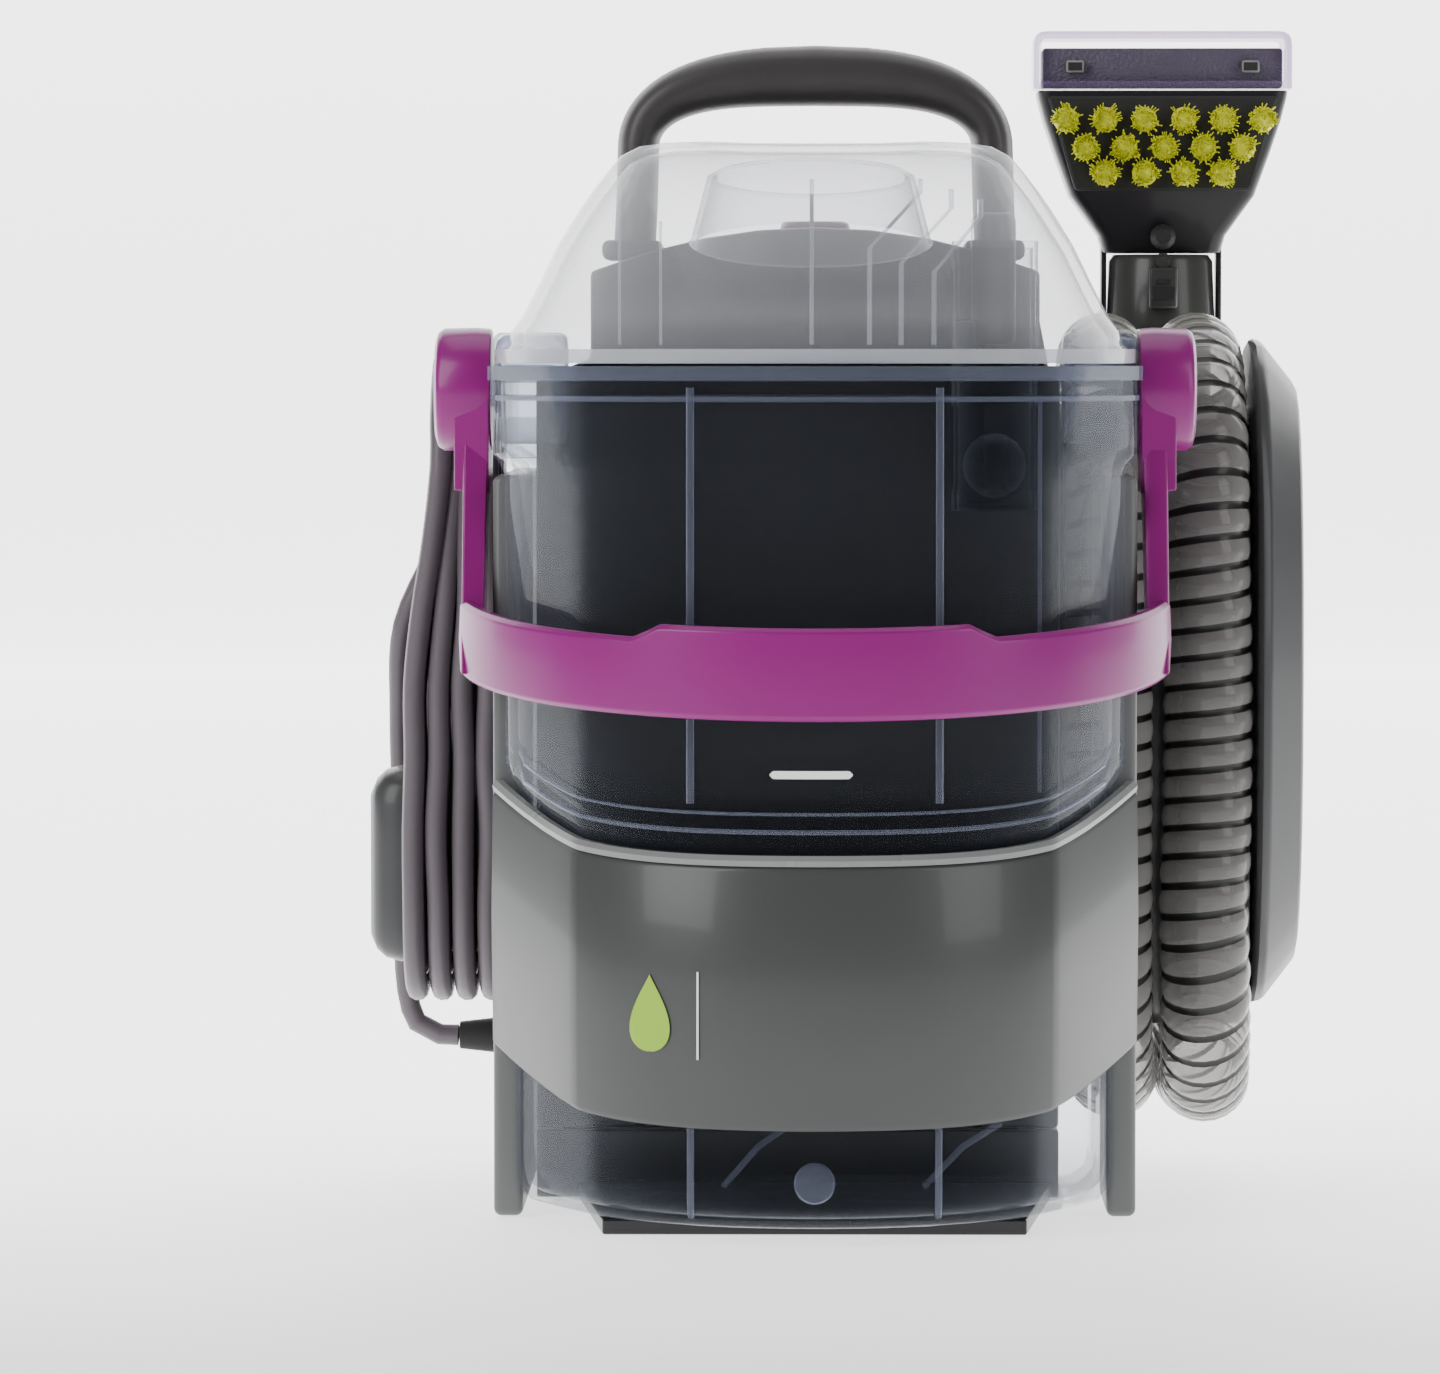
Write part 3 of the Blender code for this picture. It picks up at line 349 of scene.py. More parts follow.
def clear_moulding(name, tint, body, facing, rim, roughness, power=2.2):
    """See-through plastic: a tinted clear layer under a gloss that grows towards grazing angles."""
    tree = Tree(name)
    ripple = tree.noise(38.0, 3.0)
    fine = tree.noise(300.0, 2.0)
    tree.surface(Base_Color=tree.mix(ripple, shaded(body, 0.92), shaded(body, 1.06)),
                 Roughness=roughness + fine * 0.04, Normal=tree.bump(ripple, 0.12, 0.0006))
    through = tree.node('ShaderNodeBsdfTransparent', {}, {'Color': tint})
    edge = tree.node('ShaderNodeLayerWeight', {}, {'Blend': 0.5}, output=1)
    amount = facing + (edge ** power) * (rim - facing)
    both = tree.node('ShaderNodeMixShader', {}, {0: amount, 1: through, 2: tree.shader.outputs[0]})
    tree.links.new(both.socket, tree.output.inputs['Surface'])
    return tree.material


@finish_of
def tank_clear():
    return clear_moulding("tank_clear", (0.960, 0.966, 0.976), (0.13, 0.145, 0.175), 0.015, 0.58, 0.035)


@finish_of
def tank_edge():
    return clear_moulding("tank_edge", (0.86, 0.88, 0.94), (0.20, 0.22, 0.29), 0.20, 0.85, 0.06)


@finish_of
def lid_frost():
    return clear_moulding("lid_frost", (0.975, 0.977, 0.985), (0.72, 0.73, 0.76), 0.055, 0.70, 0.07, 1.9)


@finish_of
def lid_edge():
    return clear_moulding("lid_edge", (0.95, 0.95, 0.97), (0.66, 0.68, 0.74), 0.28, 0.90, 0.08)


@finish_of
def lavender_clear():
    return clear_moulding("lavender_clear", (0.80, 0.74, 0.86), (0.30, 0.22, 0.40), 0.25, 0.85, 0.06)


@finish_of
def hose_film():
    """Smoky film of the hose between the turns of its black helix."""
    return clear_moulding("hose_film", (0.62, 0.61, 0.60), (0.30, 0.29, 0.28), 0.42, 0.95, 0.08)


@finish_of
def hose_helix():
    return plastic("hose_helix", (0.003, 0.003, 0.003), 0.45, 900.0, 0.00005, coat=0.2, spread=0.1)


# ---------------------------------------------------------------- mesh tools
def settle(name, bm, finish, body, stands_for=(), sharp=38.0, bevel=0.0, recalc=True):
    """Turn a bmesh into a finished piece that rides on a body."""
    if recalc:
        bmesh.ops.recalc_face_normals(bm, faces=bm.faces)
    mesh = bpy.data.meshes.new(name)
    bm.to_mesh(mesh)
    bm.free()
    mesh.shade_smooth()
    mesh.set_sharp_from_angle(angle=math.radians(sharp))
    piece = bpy.data.objects.new(name, mesh)
    bpy.context.scene.collection.objects.link(piece)
    for material in finish if isinstance(finish, (list, tuple)) else [finish]:
        mesh.materials.append(material)
    if bevel:
        edge = piece.modifiers.new("rounded edges", 'BEVEL')
        edge.width = bevel
        edge.segments = 2
        edge.limit_method = 'ANGLE'
        edge.angle_limit = math.radians(35)
        edge.harden_normals = True
    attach(piece, body)
    if stands_for:
        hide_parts(*stands_for)
    return piece


def skin(bm, rings, close_ends=True, loop=False):
    """Bridge rings of points one to the next, and cap the ends."""
    grid = [[bm.verts.new(point) for point in ring] for ring in rings]
    pairs = list(zip(grid, grid[1:]))
    if loop:
        pairs.append((grid[-1], grid[0]))
    for first, second in pairs:
        count = len(first)
        for i in range(count):
            j = (i + 1) % count
            bm.faces.new((first[i], first[j], second[j], second[i]))
    if close_ends and not loop:
        bm.faces.new(grid[0])
        bm.faces.new(grid[-1])
    return grid


def block(bm, lowest, highest, rounding=0.0, segments=3, turn=None):
    """A box with rounded edges inside bm."""
    size = [b - a for a, b in zip(lowest, highest)]
    middle = Vector([(a + b) / 2 for a, b in zip(lowest, highest)])
    made = bmesh.ops.create_cube(bm, size=1.0)
    bmesh.ops.scale(bm, vec=size, verts=made['verts'])
    if rounding:
        edges = {e for v in made['verts'] for e in v.link_edges}
        rounded = bmesh.ops.bevel(bm, geom=list(edges), offset=rounding, affect='EDGES', segments=segments,
                                  profile=0.5, material=-1)
        verts = list({v for f in rounded['faces'] for v in f.verts} | {v for v in made['verts'] if v.is_valid})
    else:
        verts = made['verts']
    if turn:
        bmesh.ops.rotate(bm, verts=verts, cent=(0, 0, 0), matrix=turn)
    bmesh.ops.translate(bm, verts=verts, vec=middle)
    return verts


def turned(bm, profile, centre, axis=(0, 0, 1), steps=40):
    """Spin a profile of (radius, height) about an axis through centre."""
    spine = Vector(axis).normalized()
    side = spine.orthogonal().normalized()
    verts = [bm.verts.new(Vector(centre) + side * r + spine * h) for r, h in profile]
    edges = [bm.edges.new(pair) for pair in zip(verts, verts[1:])]
    bmesh.ops.spin(bm, geom=verts + edges, cent=centre, axis=spine, angle=math.tau, steps=steps,
                   use_merge=True,
                   use_duplicate=False)
    bmesh.ops.remove_doubles(bm, verts=bm.verts, dist=0.000005)


def frames_along(points):
    """Tangent, and two steady cross directions, at each point of a path."""
    pts = [Vector(p) for p in points]
    out = []
    normal = None
    for i, here in enumerate(pts):
        run = (pts[min(i + 1, len(pts) - 1)] - pts[max(i - 1, 0)]).normalized()
        if normal is None:
            normal = run.orthogonal().normalized()
        normal = (normal - run * normal.dot(run)).normalized()
        out.append((here, run, normal, run.cross(normal)))
    return out


def pipe(bm, points, radius, sides=12):
    """A round rod along points, closed at both ends."""
    rings = []
    for here, _, across, up in frames_along(points):
        rings.append([here + across * radius * math.cos(math.tau * k / sides)
                      + up * radius * math.sin(math.tau * k / sides) for k in range(sides)])
    skin(bm, rings)


def smooth_path(points, spacing):
    """Catmull-Rom curve through points, read about every spacing."""
    pts = [Vector(p) for p in points]
    pts = [pts[0] * 2 - pts[1]] + pts + [pts[-1] * 2 - pts[-2]]
    out = []
    for a, b, c, d in zip(pts, pts[1:], pts[2:], pts[3:]):
        steps = max(1, round((c - b).length / spacing))
        for i in range(steps):
            t = i / steps
            out.append(0.5 * (2 * b + (c - a) * t + (2 * a - 5 * b + 4 * c - d) * t ** 2
                              + (3 * b - a - 3 * c + d) * t ** 3))
    out.append(pts[-2])
    return out


def path_length(points):
    return sum((Vector(b) - Vector(a)).length for a, b in zip(points, points[1:]))


def mirrored(right):
    """Close a right-hand half outline, front to back, on its mirror image."""
    return [(-x, y) for x, y in reversed(right[1:])] + right


def rounded(outline, times=2):
    """Cut the corners of a closed outline so that its creases turn softly."""
    for _ in range(times):
        cut = []
        for (ax, ay), (bx, by) in zip(outline, outline[1:] + outline[:1]):
            cut.append((ax * 0.75 + bx * 0.25, ay * 0.75 + by * 0.25))
            cut.append((ax * 0.25 + bx * 0.75, ay * 0.25 + by * 0.75))
        outline = cut
    return outline


def shrunk(outline, distance):
    """Move a closed counter-clockwise outline inwards."""
    out = []
    count = len(outline)
    for i in range(count):
        here = Vector(outline[i])
        before = (here - Vector(outline[i - 1])).normalized()
        after = (Vector(outline[(i + 1) % count]) - here).normalized()
        normal = (Vector((-before.y, before.x)) + Vector((-after.y, after.x))).normalized()
        moved = here + normal * distance / max(0.6, normal.dot(Vector((-before.y, before.x))))
        out.append((moved.x, moved.y))
    return out


def front_half(offset, arc_steps=14):
    """Right half of the front outline, moved inwards by offset."""
    centre_y = FRONT_Y + ARC_R
    end = math.asin(CREASE_X / ARC_R)
    pts = [((ARC_R - offset) * math.sin(end * i / arc_steps),
            centre_y - (ARC_R - offset) * math.cos(end * i / arc_steps))
           for i in range(arc_steps + 1)]
    pts.append((SIDE_X - offset, PILLAR_Y - 0.0023))
    return pts


def edge_rise(y):
    """How far the fascia's edges have risen at depth y."""
    part = max(0.0, min(1.0, (y - FRONT_Y) / (PILLAR_Y - FRONT_Y)))
    return BAND_RISE * part ** 1.8


def front_y(x, offset=0.0):
    """Depth of the front face at x, moved inwards by offset."""
    return FRONT_Y + ARC_R - math.sqrt((ARC_R - offset) ** 2 - x * x)


# ---------------------------------------------------------------- dirty tank
def tank_outline(offset, step_x, rear_x):
    right = front_half(offset)
    right += [(step_x, PILLAR_Y - 0.0012), (step_x, -0.060), (rear_x, TANK_REAR)]
    return rounded(mirrored(right), 2)


def tank_levels(wall):
    side = SIDE_X - 0.0100
    ledge = BAND_HIGH + 0.002
    shoulder = SEAM_Z - 0.0295
    wide = SIDE_X - 0.0003
    levels = [(TANK_LOW + wall, 0.013, side - 0.010, side - 0.010, 0), (TANK_LOW + 0.0012 + wall, 0.0085,
                                                                        side - 0.005, side - 0.005, 0),
              (TANK_LOW + 0.005 + wall * 0.6, 0.0055, side - 0.001, side - 0.001, 0), (TANK_LOW + 0.012,
                                                                                       0.005, side, side, 0),
              (ledge - 0.010, 0.005, side, side, 1), (ledge - 0.004 + wall, 0.0048, side, side, 1),
              (ledge - 0.001 + wall, 0.0035, side, side, 1), (ledge + 0.002 + wall, 0.0012, side, side, 1),
              (ledge + 0.007 + wall, 0.0005, side, side, 1), (ledge + 0.030, 0.0004, side, side, 0.5),
              (shoulder - 0.002 + wall, 0.0004, side, side, 0), (shoulder + 0.001 + wall, 0.0003,
                                                                 side + 0.004, side, 0),
              (shoulder + 0.004 + wall, 0.0003, wide, wide - 0.006, 0), (SEAM_Z - 0.006, 0.0003, wide,
                                                                         wide - 0.006, 0),
              (SEAM_Z - 0.0002, 0.0003, wide, wide - 0.006, 0)]
    rings = []
    for z, offset, step_x, rear_x, rise in levels:
        outline = tank_outline(offset, step_x, rear_x)
        if wall:
            outline = shrunk(outline, wall)
        rings.append([(x, y, z + rise * edge_rise(y)) for x, y in outline])
    return rings


class CLEANER_OT_dirty_tank(bpy.types.Operator):
    """Clear front tank with its ribs, rim, ears and full line"""
    bl_idname = "cleaner.dirty_tank"
    bl_label = "Dirty tank"

    def execute(self, context):
        bm = bmesh.new()
        skin(bm, tank_levels(0.0) + tank_levels(0.0024)[::-1])
        settle("tank_shell", bm, tank_clear(), "tank", ("dirty_tank",), sharp=50)
        bm = bmesh.new()
        for x in (-0.0346, 0.0346):
            y = front_y(x, 0.0004)
            pipe(bm, [(x, y, SEAM_Z - 0.006), (x, y, BAND_HIGH + 0.014 + edge_rise(y))], 0.0011, 8)
            y = front_y(x, 0.0052)
            pipe(bm, [(x, y, BAND_LOW + 0.010), (x, y, TANK_LOW + 0.008), (x, y + 0.003, TANK_LOW + 0.0035),
                      (x, y + 0.012, TANK_LOW + 0.0022)], 0.0010, 8)
        pipe(bm, [(0.0630, front_y(0.0630, 0.004), SEAM_Z - 0.010), (0.0630, front_y(0.0630, 0.004),
                                                                     BAND_HIGH + 0.016)], 0.0006, 6)
        settle("tank_ribs", bm, tank_edge(), "tank")
        bm = bmesh.new()
        outline = tank_outline(0.0003, SIDE_X - 0.0003, SIDE_X - 0.0063)
        for top, bottom, proud in ((SEAM_Z - 0.0001, SEAM_Z - 0.0042, 0.0016), (SEAM_Z - 0.0085,
                                                                                SEAM_Z - 0.0100, 0.0006)):
            outside = shrunk(outline, -proud)
            inside = shrunk(outline, 0.0003)
            skin(bm, [[(x, y, top) for x, y in inside], [(x, y, top) for x, y in outside],
                      [(x, y, bottom) for x, y in outside], [(x, y, bottom) for x, y in inside]], loop=True)
        settle("tank_rim", bm, tank_edge(), "tank")
        bm = bmesh.new()
        ledge = BAND_HIGH + 0.0065
        outline = tank_outline(0.0010, SIDE_X - 0.0105, SIDE_X - 0.0105)
        count = len(outline)
        front = [p for p in outline if p[1] < PILLAR_Y]
        for lift, thick in ((0.0, 0.0007), (0.0050, 0.0005)):
            pipe(bm, [(x, y - 0.0004, ledge + lift + edge_rise(y)) for x, y in sorted(front)], thick, 6)
        settle("tank_ledge_lines", bm, tank_edge(), "tank")
        self.ears()
        bm = bmesh.new()
        line_z = 0.1325
        rings = []
        for i in range(25):
            x = -0.0125 + 0.0230 * i / 24
            part = min(i, 24 - i) / 1.2
            half = 0.0011 * min(1.0, math.sqrt(max(0.02, 1 - max(0.0, 1 - part) ** 2)))
            y = front_y(x, 0.0002)
            rings.append([(x, y - 0.00015, line_z - half), (x, y + 0.0002, line_z - half), (x, y + 0.0002,
                                                                                            line_z + half),
                          (x, y - 0.00015, line_z + half)])
        skin(bm, rings)
        settle("fill_line", bm, white_print(), "tank")
        bm = bmesh.new()
        turned(bm, [(0.0, 0.0012), (0.0030, 0.0016), (0.0052, 0.0010), (0.0058, 0.0), (0.0058, -0.0010),
                    (0.0, -0.0010)],
               (0.0, FRONT_Y + 0.0095, 0.0180), (0, -1, 0), 36)
        settle("drain_boss", bm, tank_edge(), "tank")
        bm = bmesh.new()
        for x, run in ((-0.026, 0.020), (0.031, 0.022)):
            pipe(bm, [(x, -0.118, 0.0125), (x + run / 2, -0.118, 0.0240), (x + run, -0.118, 0.0310)],
                 0.0009, 10)
        settle("duct_lines", bm, tank_edge(), "tank")
        return {'FINISHED'}

    def ears(self):
        """Hinge bosses that carry the bail, with their webs."""
        for side in (-1, 1):
            bm = bmesh.new()
            inner = side * (SIDE_X - 0.0205)
            outer = side * (SIDE_X + 0.0004)
            turned(bm, [(0.0, 0.0), (0.0150, 0.0), (0.0158, 0.0010), (0.0158, 0.0185), (0.0140, 0.0205),
                        (0.0070, 0.0205),
                        (0.0060, 0.0190), (0.0, 0.0190)], (inner, PIVOT_Y, PIVOT_Z), (side, 0, 0))
            block(bm, (min(inner, outer), PIVOT_Y - 0.013, PIVOT_Z + 0.002), (max(inner, outer),
                                                                              PIVOT_Y + 0.013, PIVOT_Z + 0.0165),
                  0.002)
            edge = side * (SIDE_X - 0.0010)
            web = [(PIVOT_Y - 0.012, PIVOT_Z - 0.008), (PIVOT_Y + 0.010, PIVOT_Z - 0.008), (PIVOT_Y + 0.004,
                                                                                            PIVOT_Z - 0.0200),
                   (PIVOT_Y - 0.003, PIVOT_Z - 0.0200)]
            skin(bm, [[(edge - side * 0.012, y, z) for y, z in web], [(edge, y, z) for y, z in web]])
            settle("tank_ear_right" if side > 0 else "tank_ear_left", bm, tank_edge(), "tank", bevel=0.0006)
            bm = bmesh.new()
            for lift in (0.0060, 0.0105):
                block(bm, (min(inner, outer) + 0.003, PIVOT_Y - 0.0142, PIVOT_Z + lift),
                      (max(inner, outer) - 0.003, PIVOT_Y - 0.0128, PIVOT_Z + lift + 0.0012), 0.0003, 1)
            settle("ear_lines_right" if side > 0 else "ear_lines_left", bm, lid_edge(), "tank")


# ---------------------------------------------------------------- lid
def lid_outline(half, front, rear, wall):
    right = []
    middle = rear - 0.032
    for i in range(19):
        angle = math.pi / 2 * i / 18
        right.append(((half - wall) * math.sin(angle) ** 0.85,
                      middle - (middle - front - wall) * math.cos(angle) ** 0.85))
    right += [(half - wall, middle + 0.012), (half - wall - 0.003, rear - 0.004), (half - wall - 0.007,
                                                                                   rear - wall)]
    return mirrored(right)


LID_LEVELS = [(0.0, 0.0905, -0.1655, -0.0405), (0.004, 0.0903, -0.1653, -0.0405), (0.0055, 0.0885, -0.1635,
                                                                                   -0.0405),
              (0.009, 0.0878, -0.1628, -0.0405), (0.0135, 0.0845, -0.158, -0.041), (0.022, 0.0800, -0.151,
                                                                                    -0.0415),
              (0.034, 0.0742, -0.141, -0.042), (0.044, 0.0680, -0.129, -0.0425), (0.050, 0.0638, -0.120,
                                                                                  -0.043),
              (0.0555, 0.0595, -0.109, -0.044), (0.0595, 0.0560, -0.1005, -0.0465), (0.0622, 0.0505, -0.091,
                                                                                     -0.049),
              (0.0632, 0.0430, -0.082, -0.053), (0.0635, 0.030, -0.074, -0.058)]


def lid_levels(wall):
    base = SEAM_Z + 0.0006
    return [[(x, y, base + rise - (wall if rise > 0.001 else 0.0)) for x, y in lid_outline(half, front,
                                                                                           rear, wall)]
            for rise, half, front, rear in LID_LEVELS]


class CLEANER_OT_lid(bpy.types.Operator):
    """Domed clear lid with its inner walls, disc and duct"""
    bl_idname = "cleaner.lid"
    bl_label = "Tank lid"

    def execute(self, context):
        bm = bmesh.new()
        skin(bm, lid_levels(0.0)[::-1] + lid_levels(0.0024))
        settle("lid_shell", bm, lid_frost(), "lid", ("tank_lid",), sharp=60)
        bm = bmesh.new()
        outline = lid_outline(0.0905, -0.1655, -0.0405, 0.0)
        base = SEAM_Z + 0.0007
        outside = shrunk(outline, -0.0018)
        inside = shrunk(outline, 0.0004)
        skin(bm, [[(x, y, base + 0.0040) for x, y in inside], [(x, y, base + 0.0040) for x, y in outside],
                  [(x, y, base) for x, y in outside], [(x, y, base) for x, y in inside]], loop=True)
        settle("lid_rim", bm, lid_edge(), "lid")
        self.inner_walls()
        self.discs()
        return {'FINISHED'}

    def inner_walls(self):
        """Bent separator walls and the clear duct on the right, one rib in the middle."""
        top = LID_TOP - 0.010
        floor = SEAM_Z + 0.006
        bm = bmesh.new()
        bends = (((0.0305, top), (0.0305, 0.2955), (0.0158, 0.2795), (0.0158, floor)),
                 ((0.0395, top - 0.003), (0.0395, 0.2910), (0.0250, 0.2750), (0.0250, floor)),
                 ((0.0480, top - 0.006), (0.0480, 0.2885), (0.0345, 0.2725), (0.0345, floor)))
        for route in bends:
            rings = []
            for x, z in route:
                rings.append([(x - 0.0007, -0.062, z), (x + 0.0007, -0.062, z), (x + 0.0007, -0.050, z),
                              (x - 0.0007, -0.050, z)])
            skin(bm, rings)
        block(bm, (-0.0016, -0.0560, floor), (-0.0004, -0.0500, top), 0.0003, 1)
        for x, height in ((-0.0450, 0.036), (-0.0570, 0.048)):
            block(bm, (x - 0.0004, -0.0540, floor), (x + 0.0004, -0.0500, floor + height), 0.0002, 1)
        settle("lid_walls", bm, lid_edge(), "lid")
        bm = bmesh.new()
        block(bm, (0.0455, -0.0555, floor), (0.0585, -0.0430, 0.2900), 0.0025)
        settle("lid_duct", bm, lid_frost(), "lid")
        bm = bmesh.new()
        block(bm, (0.0400, -0.0556, floor - 0.002), (0.0475, -0.0490, floor + 0.007), 0.0012)
        settle("lid_duct_foot", bm, lid_edge(), "lid")

    def discs(self):
        """The round recess moulded in the top, seen as two rings."""
        bm = bmesh.new()
        rings = []
        for radius, drop in ((0.0285, 0.0), (0.0300, 0.0008), (0.0345, 0.0185), (0.0352, 0.0192), (0.0340,
                                                                                                   0.0200),
                             (0.0330, 0.0185), (0.0286, 0.0012), (0.0272, 0.0006)):
            ring = []
            for k in range(48):
                a = math.tau * k / 48
                x = radius * math.cos(a) - 0.0012
                y = -0.0780 + radius * 0.72 * math.sin(a)
                ring.append((x, y, LID_TOP - 0.0095 - drop + 0.20 * radius * math.sin(a)))
            rings.append(ring)
        skin(bm, rings, loop=True)
        settle("lid_cone", bm, lid_frost(), "lid")


# ---------------------------------------------------------------- bail
BAIL_R = 0.101
BAIL_DROP = 0.080


class CLEANER_OT_bail(bpy.types.Operator):
    """Swinging violet bail with its round hubs"""
    bl_idname = "cleaner.bail"
    bl_label = "Bail"

    def execute(self, context):
        centre_y = FRONT_Y - 0.0045 + BAIL_R - 0.0025
        arm_x = SIDE_X + 0.0055
        half = []
        for i in range(33):
            part = i / 32
            angle = math.radians(79) * part
            lift = 0.004 * min(1.0, max(0.0, (0.36 - part) / 0.035))
            half.append((BAIL_R * math.sin(angle), centre_y - BAIL_R * math.cos(angle), 0.009 * part ** 2,
                         lift))
        route = [(-x, y, rise, lift) for x, y, rise, lift in reversed(half[1:])] + half
        rings = []
        for x, y, rise, lift in route:
            away = Vector((x, y - centre_y)).normalized()
            z_low = PIVOT_Z - BAIL_DROP + rise - 0.0110
            z_high = z_low + 0.0220 + lift
            inner, outer, soft = 0.0022, 0.0026, 0.0014
            section = [(-inner, z_low + 0.0006), (outer - soft, z_low), (outer, z_low + soft),
                       (outer + 0.0004, (z_low + z_high) / 2),
                       (outer, z_high - soft), (outer - soft, z_high), (-inner, z_high - 0.0006)]
            rings.append([(x + away.x * out, y + away.y * out, z) for out, z in section])
        bm = bmesh.new()
        skin(bm, rings)
        end_y = half[-1][1]
        foot_z = PIVOT_Z - BAIL_DROP + 0.009
        for side in (-1, 1):
            x = side * arm_x
            steps = []
            for i in range(13):
                part = i / 12
                y = end_y - 0.001 + (PIVOT_Y - end_y + 0.001) * part ** 1.15
                z = foot_z - 0.010 + (PIVOT_Z - foot_z + 0.004) * part
                wide = 0.0080 + 0.0040 * max(0.0, part - 0.55) / 0.45
                thick = 0.0030 + 0.0006 * part
                steps.append([(x - thick, y - wide, z), (x - thick * 0.6 + side * 0.001, y - wide - 0.0008,
                                                         z), (x + thick, y - wide, z),
                              (x + thick + 0.0006, y, z), (x + thick, y + wide, z), (x - thick, y + wide,
                                                                                     z)])
            skin(bm, steps)
            hub = side * (SIDE_X + 0.0012)
            depth = 0.0165
            profile = [(0.0, depth - 0.0012), (0.0120, depth - 0.0006), (0.0140, depth), (0.0166,
                                                                                          depth - 0.0008),
                       (0.0178, depth - 0.0026), (0.0180, 0.004), (0.0176, 0.0), (0.0, 0.0)]
            turned(bm, profile, (hub, PIVOT_Y, PIVOT_Z), (side, 0, 0), 56)
            skirt = [(PIVOT_Y - 0.0176, PIVOT_Z + 0.002), (PIVOT_Y + 0.0166, PIVOT_Z - 0.004),
                     (PIVOT_Y + 0.0060, PIVOT_Z - 0.0300),
                     (PIVOT_Y - 0.0180, PIVOT_Z - 0.0300)]
            skin(bm, [[(hub + side * 0.0004, y, z) for y, z in skirt],
                      [(hub + side * 0.0105, y * 0.9 + PIVOT_Y * 0.1, z + 0.001) for y, z in skirt]])
        settle("bail_violet", bm, violet_gloss(), "bail_body", ("bail",), sharp=42, bevel=0.0005)
        for side in (-1, 1):
            bm = bmesh.new()
            x = side * (SIDE_X + 0.0012 + 0.0165)
            turned(bm, [(0.0, -0.0008), (0.0076, -0.0008), (0.0084, -0.0004), (0.0088, -0.0014), (0.0,
                                                                                                  -0.0016)],
                   (x, PIVOT_Y, PIVOT_Z), (side, 0, 0), 40)
            settle("hub_cap_right" if side > 0 else "hub_cap_left", bm, violet_gloss(), "bail_body")
        return {'FINISHED'}


# ---------------------------------------------------------------- fascia and side walls
class CLEANER_OT_fascia(bpy.types.Operator):
    """Grey strap across the front with its light lip, and the side walls"""
    bl_idname = "cleaner.fascia"
    bl_label = "Fascia"

    def execute(self, context):
        outer = rounded_open(front_half(0.0, 20))
        inner = rounded_open(front_half(0.0030, 20))
        rings = []
        lip = []
        for (ox, oy), (ix, iy) in zip(outer, inner):
            rise = edge_rise(oy)
            z_low = BAND_LOW + rise
            z_high = BAND_HIGH + rise
            away = (Vector((ox, oy)) - Vector((ix, iy))).normalized()
            rings.append([(ix, iy, z_low), (ox - away.x * 0.0012, oy - away.y * 0.0012, z_low), (ox, oy,
                                                                                                 z_low + 0.0016),
                          (ox + away.x * 0.0004, oy + away.y * 0.0004, (z_low + z_high) / 2), (ox, oy,
                                                                                               z_high - 0.0046),
                          (ox - away.x * 0.0008, oy - away.y * 0.0008, z_high - 0.0030), (ix, iy,
                                                                                          z_high - 0.0022)])
            lip.append([(ix, iy, z_high - 0.0020), (ox - away.x * 0.0002, oy - away.y * 0.0002,
                                                    z_high - 0.0030),
                        (ox + away.x * 0.0001, oy + away.y * 0.0001,
                         z_high - 0.0014), (ox - away.x * 0.0010, oy - away.y * 0.0010, z_high),
                        (ix, iy, z_high)])
        bm = bmesh.new()
        skin(bm, rings)
        settle("fascia", bm, satin_grey(), "root", ("front_band",), sharp=48)
        bm = bmesh.new()
        skin(bm, lip)
        settle("fascia_lip", bm, lip_grey(), "root", sharp=30)
        for side in ("left", "right"):
            node = "side_wall_" + side
            bm = bmesh.new()
            block(bm, low(node), high(node), 0.0022, 4)
            settle(node + "_shell", bm, pillar_grey(), "root", (node,), sharp=50)
        self.mark()
        return {'FINISHED'}

    def mark(self):
        """A plain water drop beside an upright line, in place of a name."""
        bm = bmesh.new()
        rings = []
        for k in range(1, 24):
            a = math.pi * k / 24
            wide = 0.0078 * math.sin(a) * math.sin(a / 2) ** 1.3
            z = 0.0655 + 0.0108 * math.cos(a)
            across = [-0.046 + wide * (j / 4 - 1) for j in range(9)]
            rings.append([(x, front_y(x) - 0.0010, z) for x in across] + [(x, front_y(x) + 0.0006,
                                                                           z) for x in reversed(across)])
        skin(bm, rings)
        settle("drop_mark", bm, green_print(), "root", sharp=60)
        bm = bmesh.new()
        x = -0.0325
        block(bm, (x - 0.0003, front_y(x) - 0.0010, 0.0530), (x + 0.0003, front_y(x) + 0.0004, 0.0775),
              0.0001, 1)
        settle("mark_line", bm, white_print(), "root")


def rounded_open(right):
    """Both halves of an open outline with its creases turned softly."""
    pts = mirrored(right)
    for _ in range(2):
        cut = [pts[0]]
        for (ax, ay), (bx, by) in zip(pts, pts[1:]):
            cut.append((ax * 0.75 + bx * 0.25, ay * 0.75 + by * 0.25))
            cut.append((ax * 0.25 + bx * 0.75, ay * 0.25 + by * 0.75))
        pts = cut + [pts[-1]]
    return pts


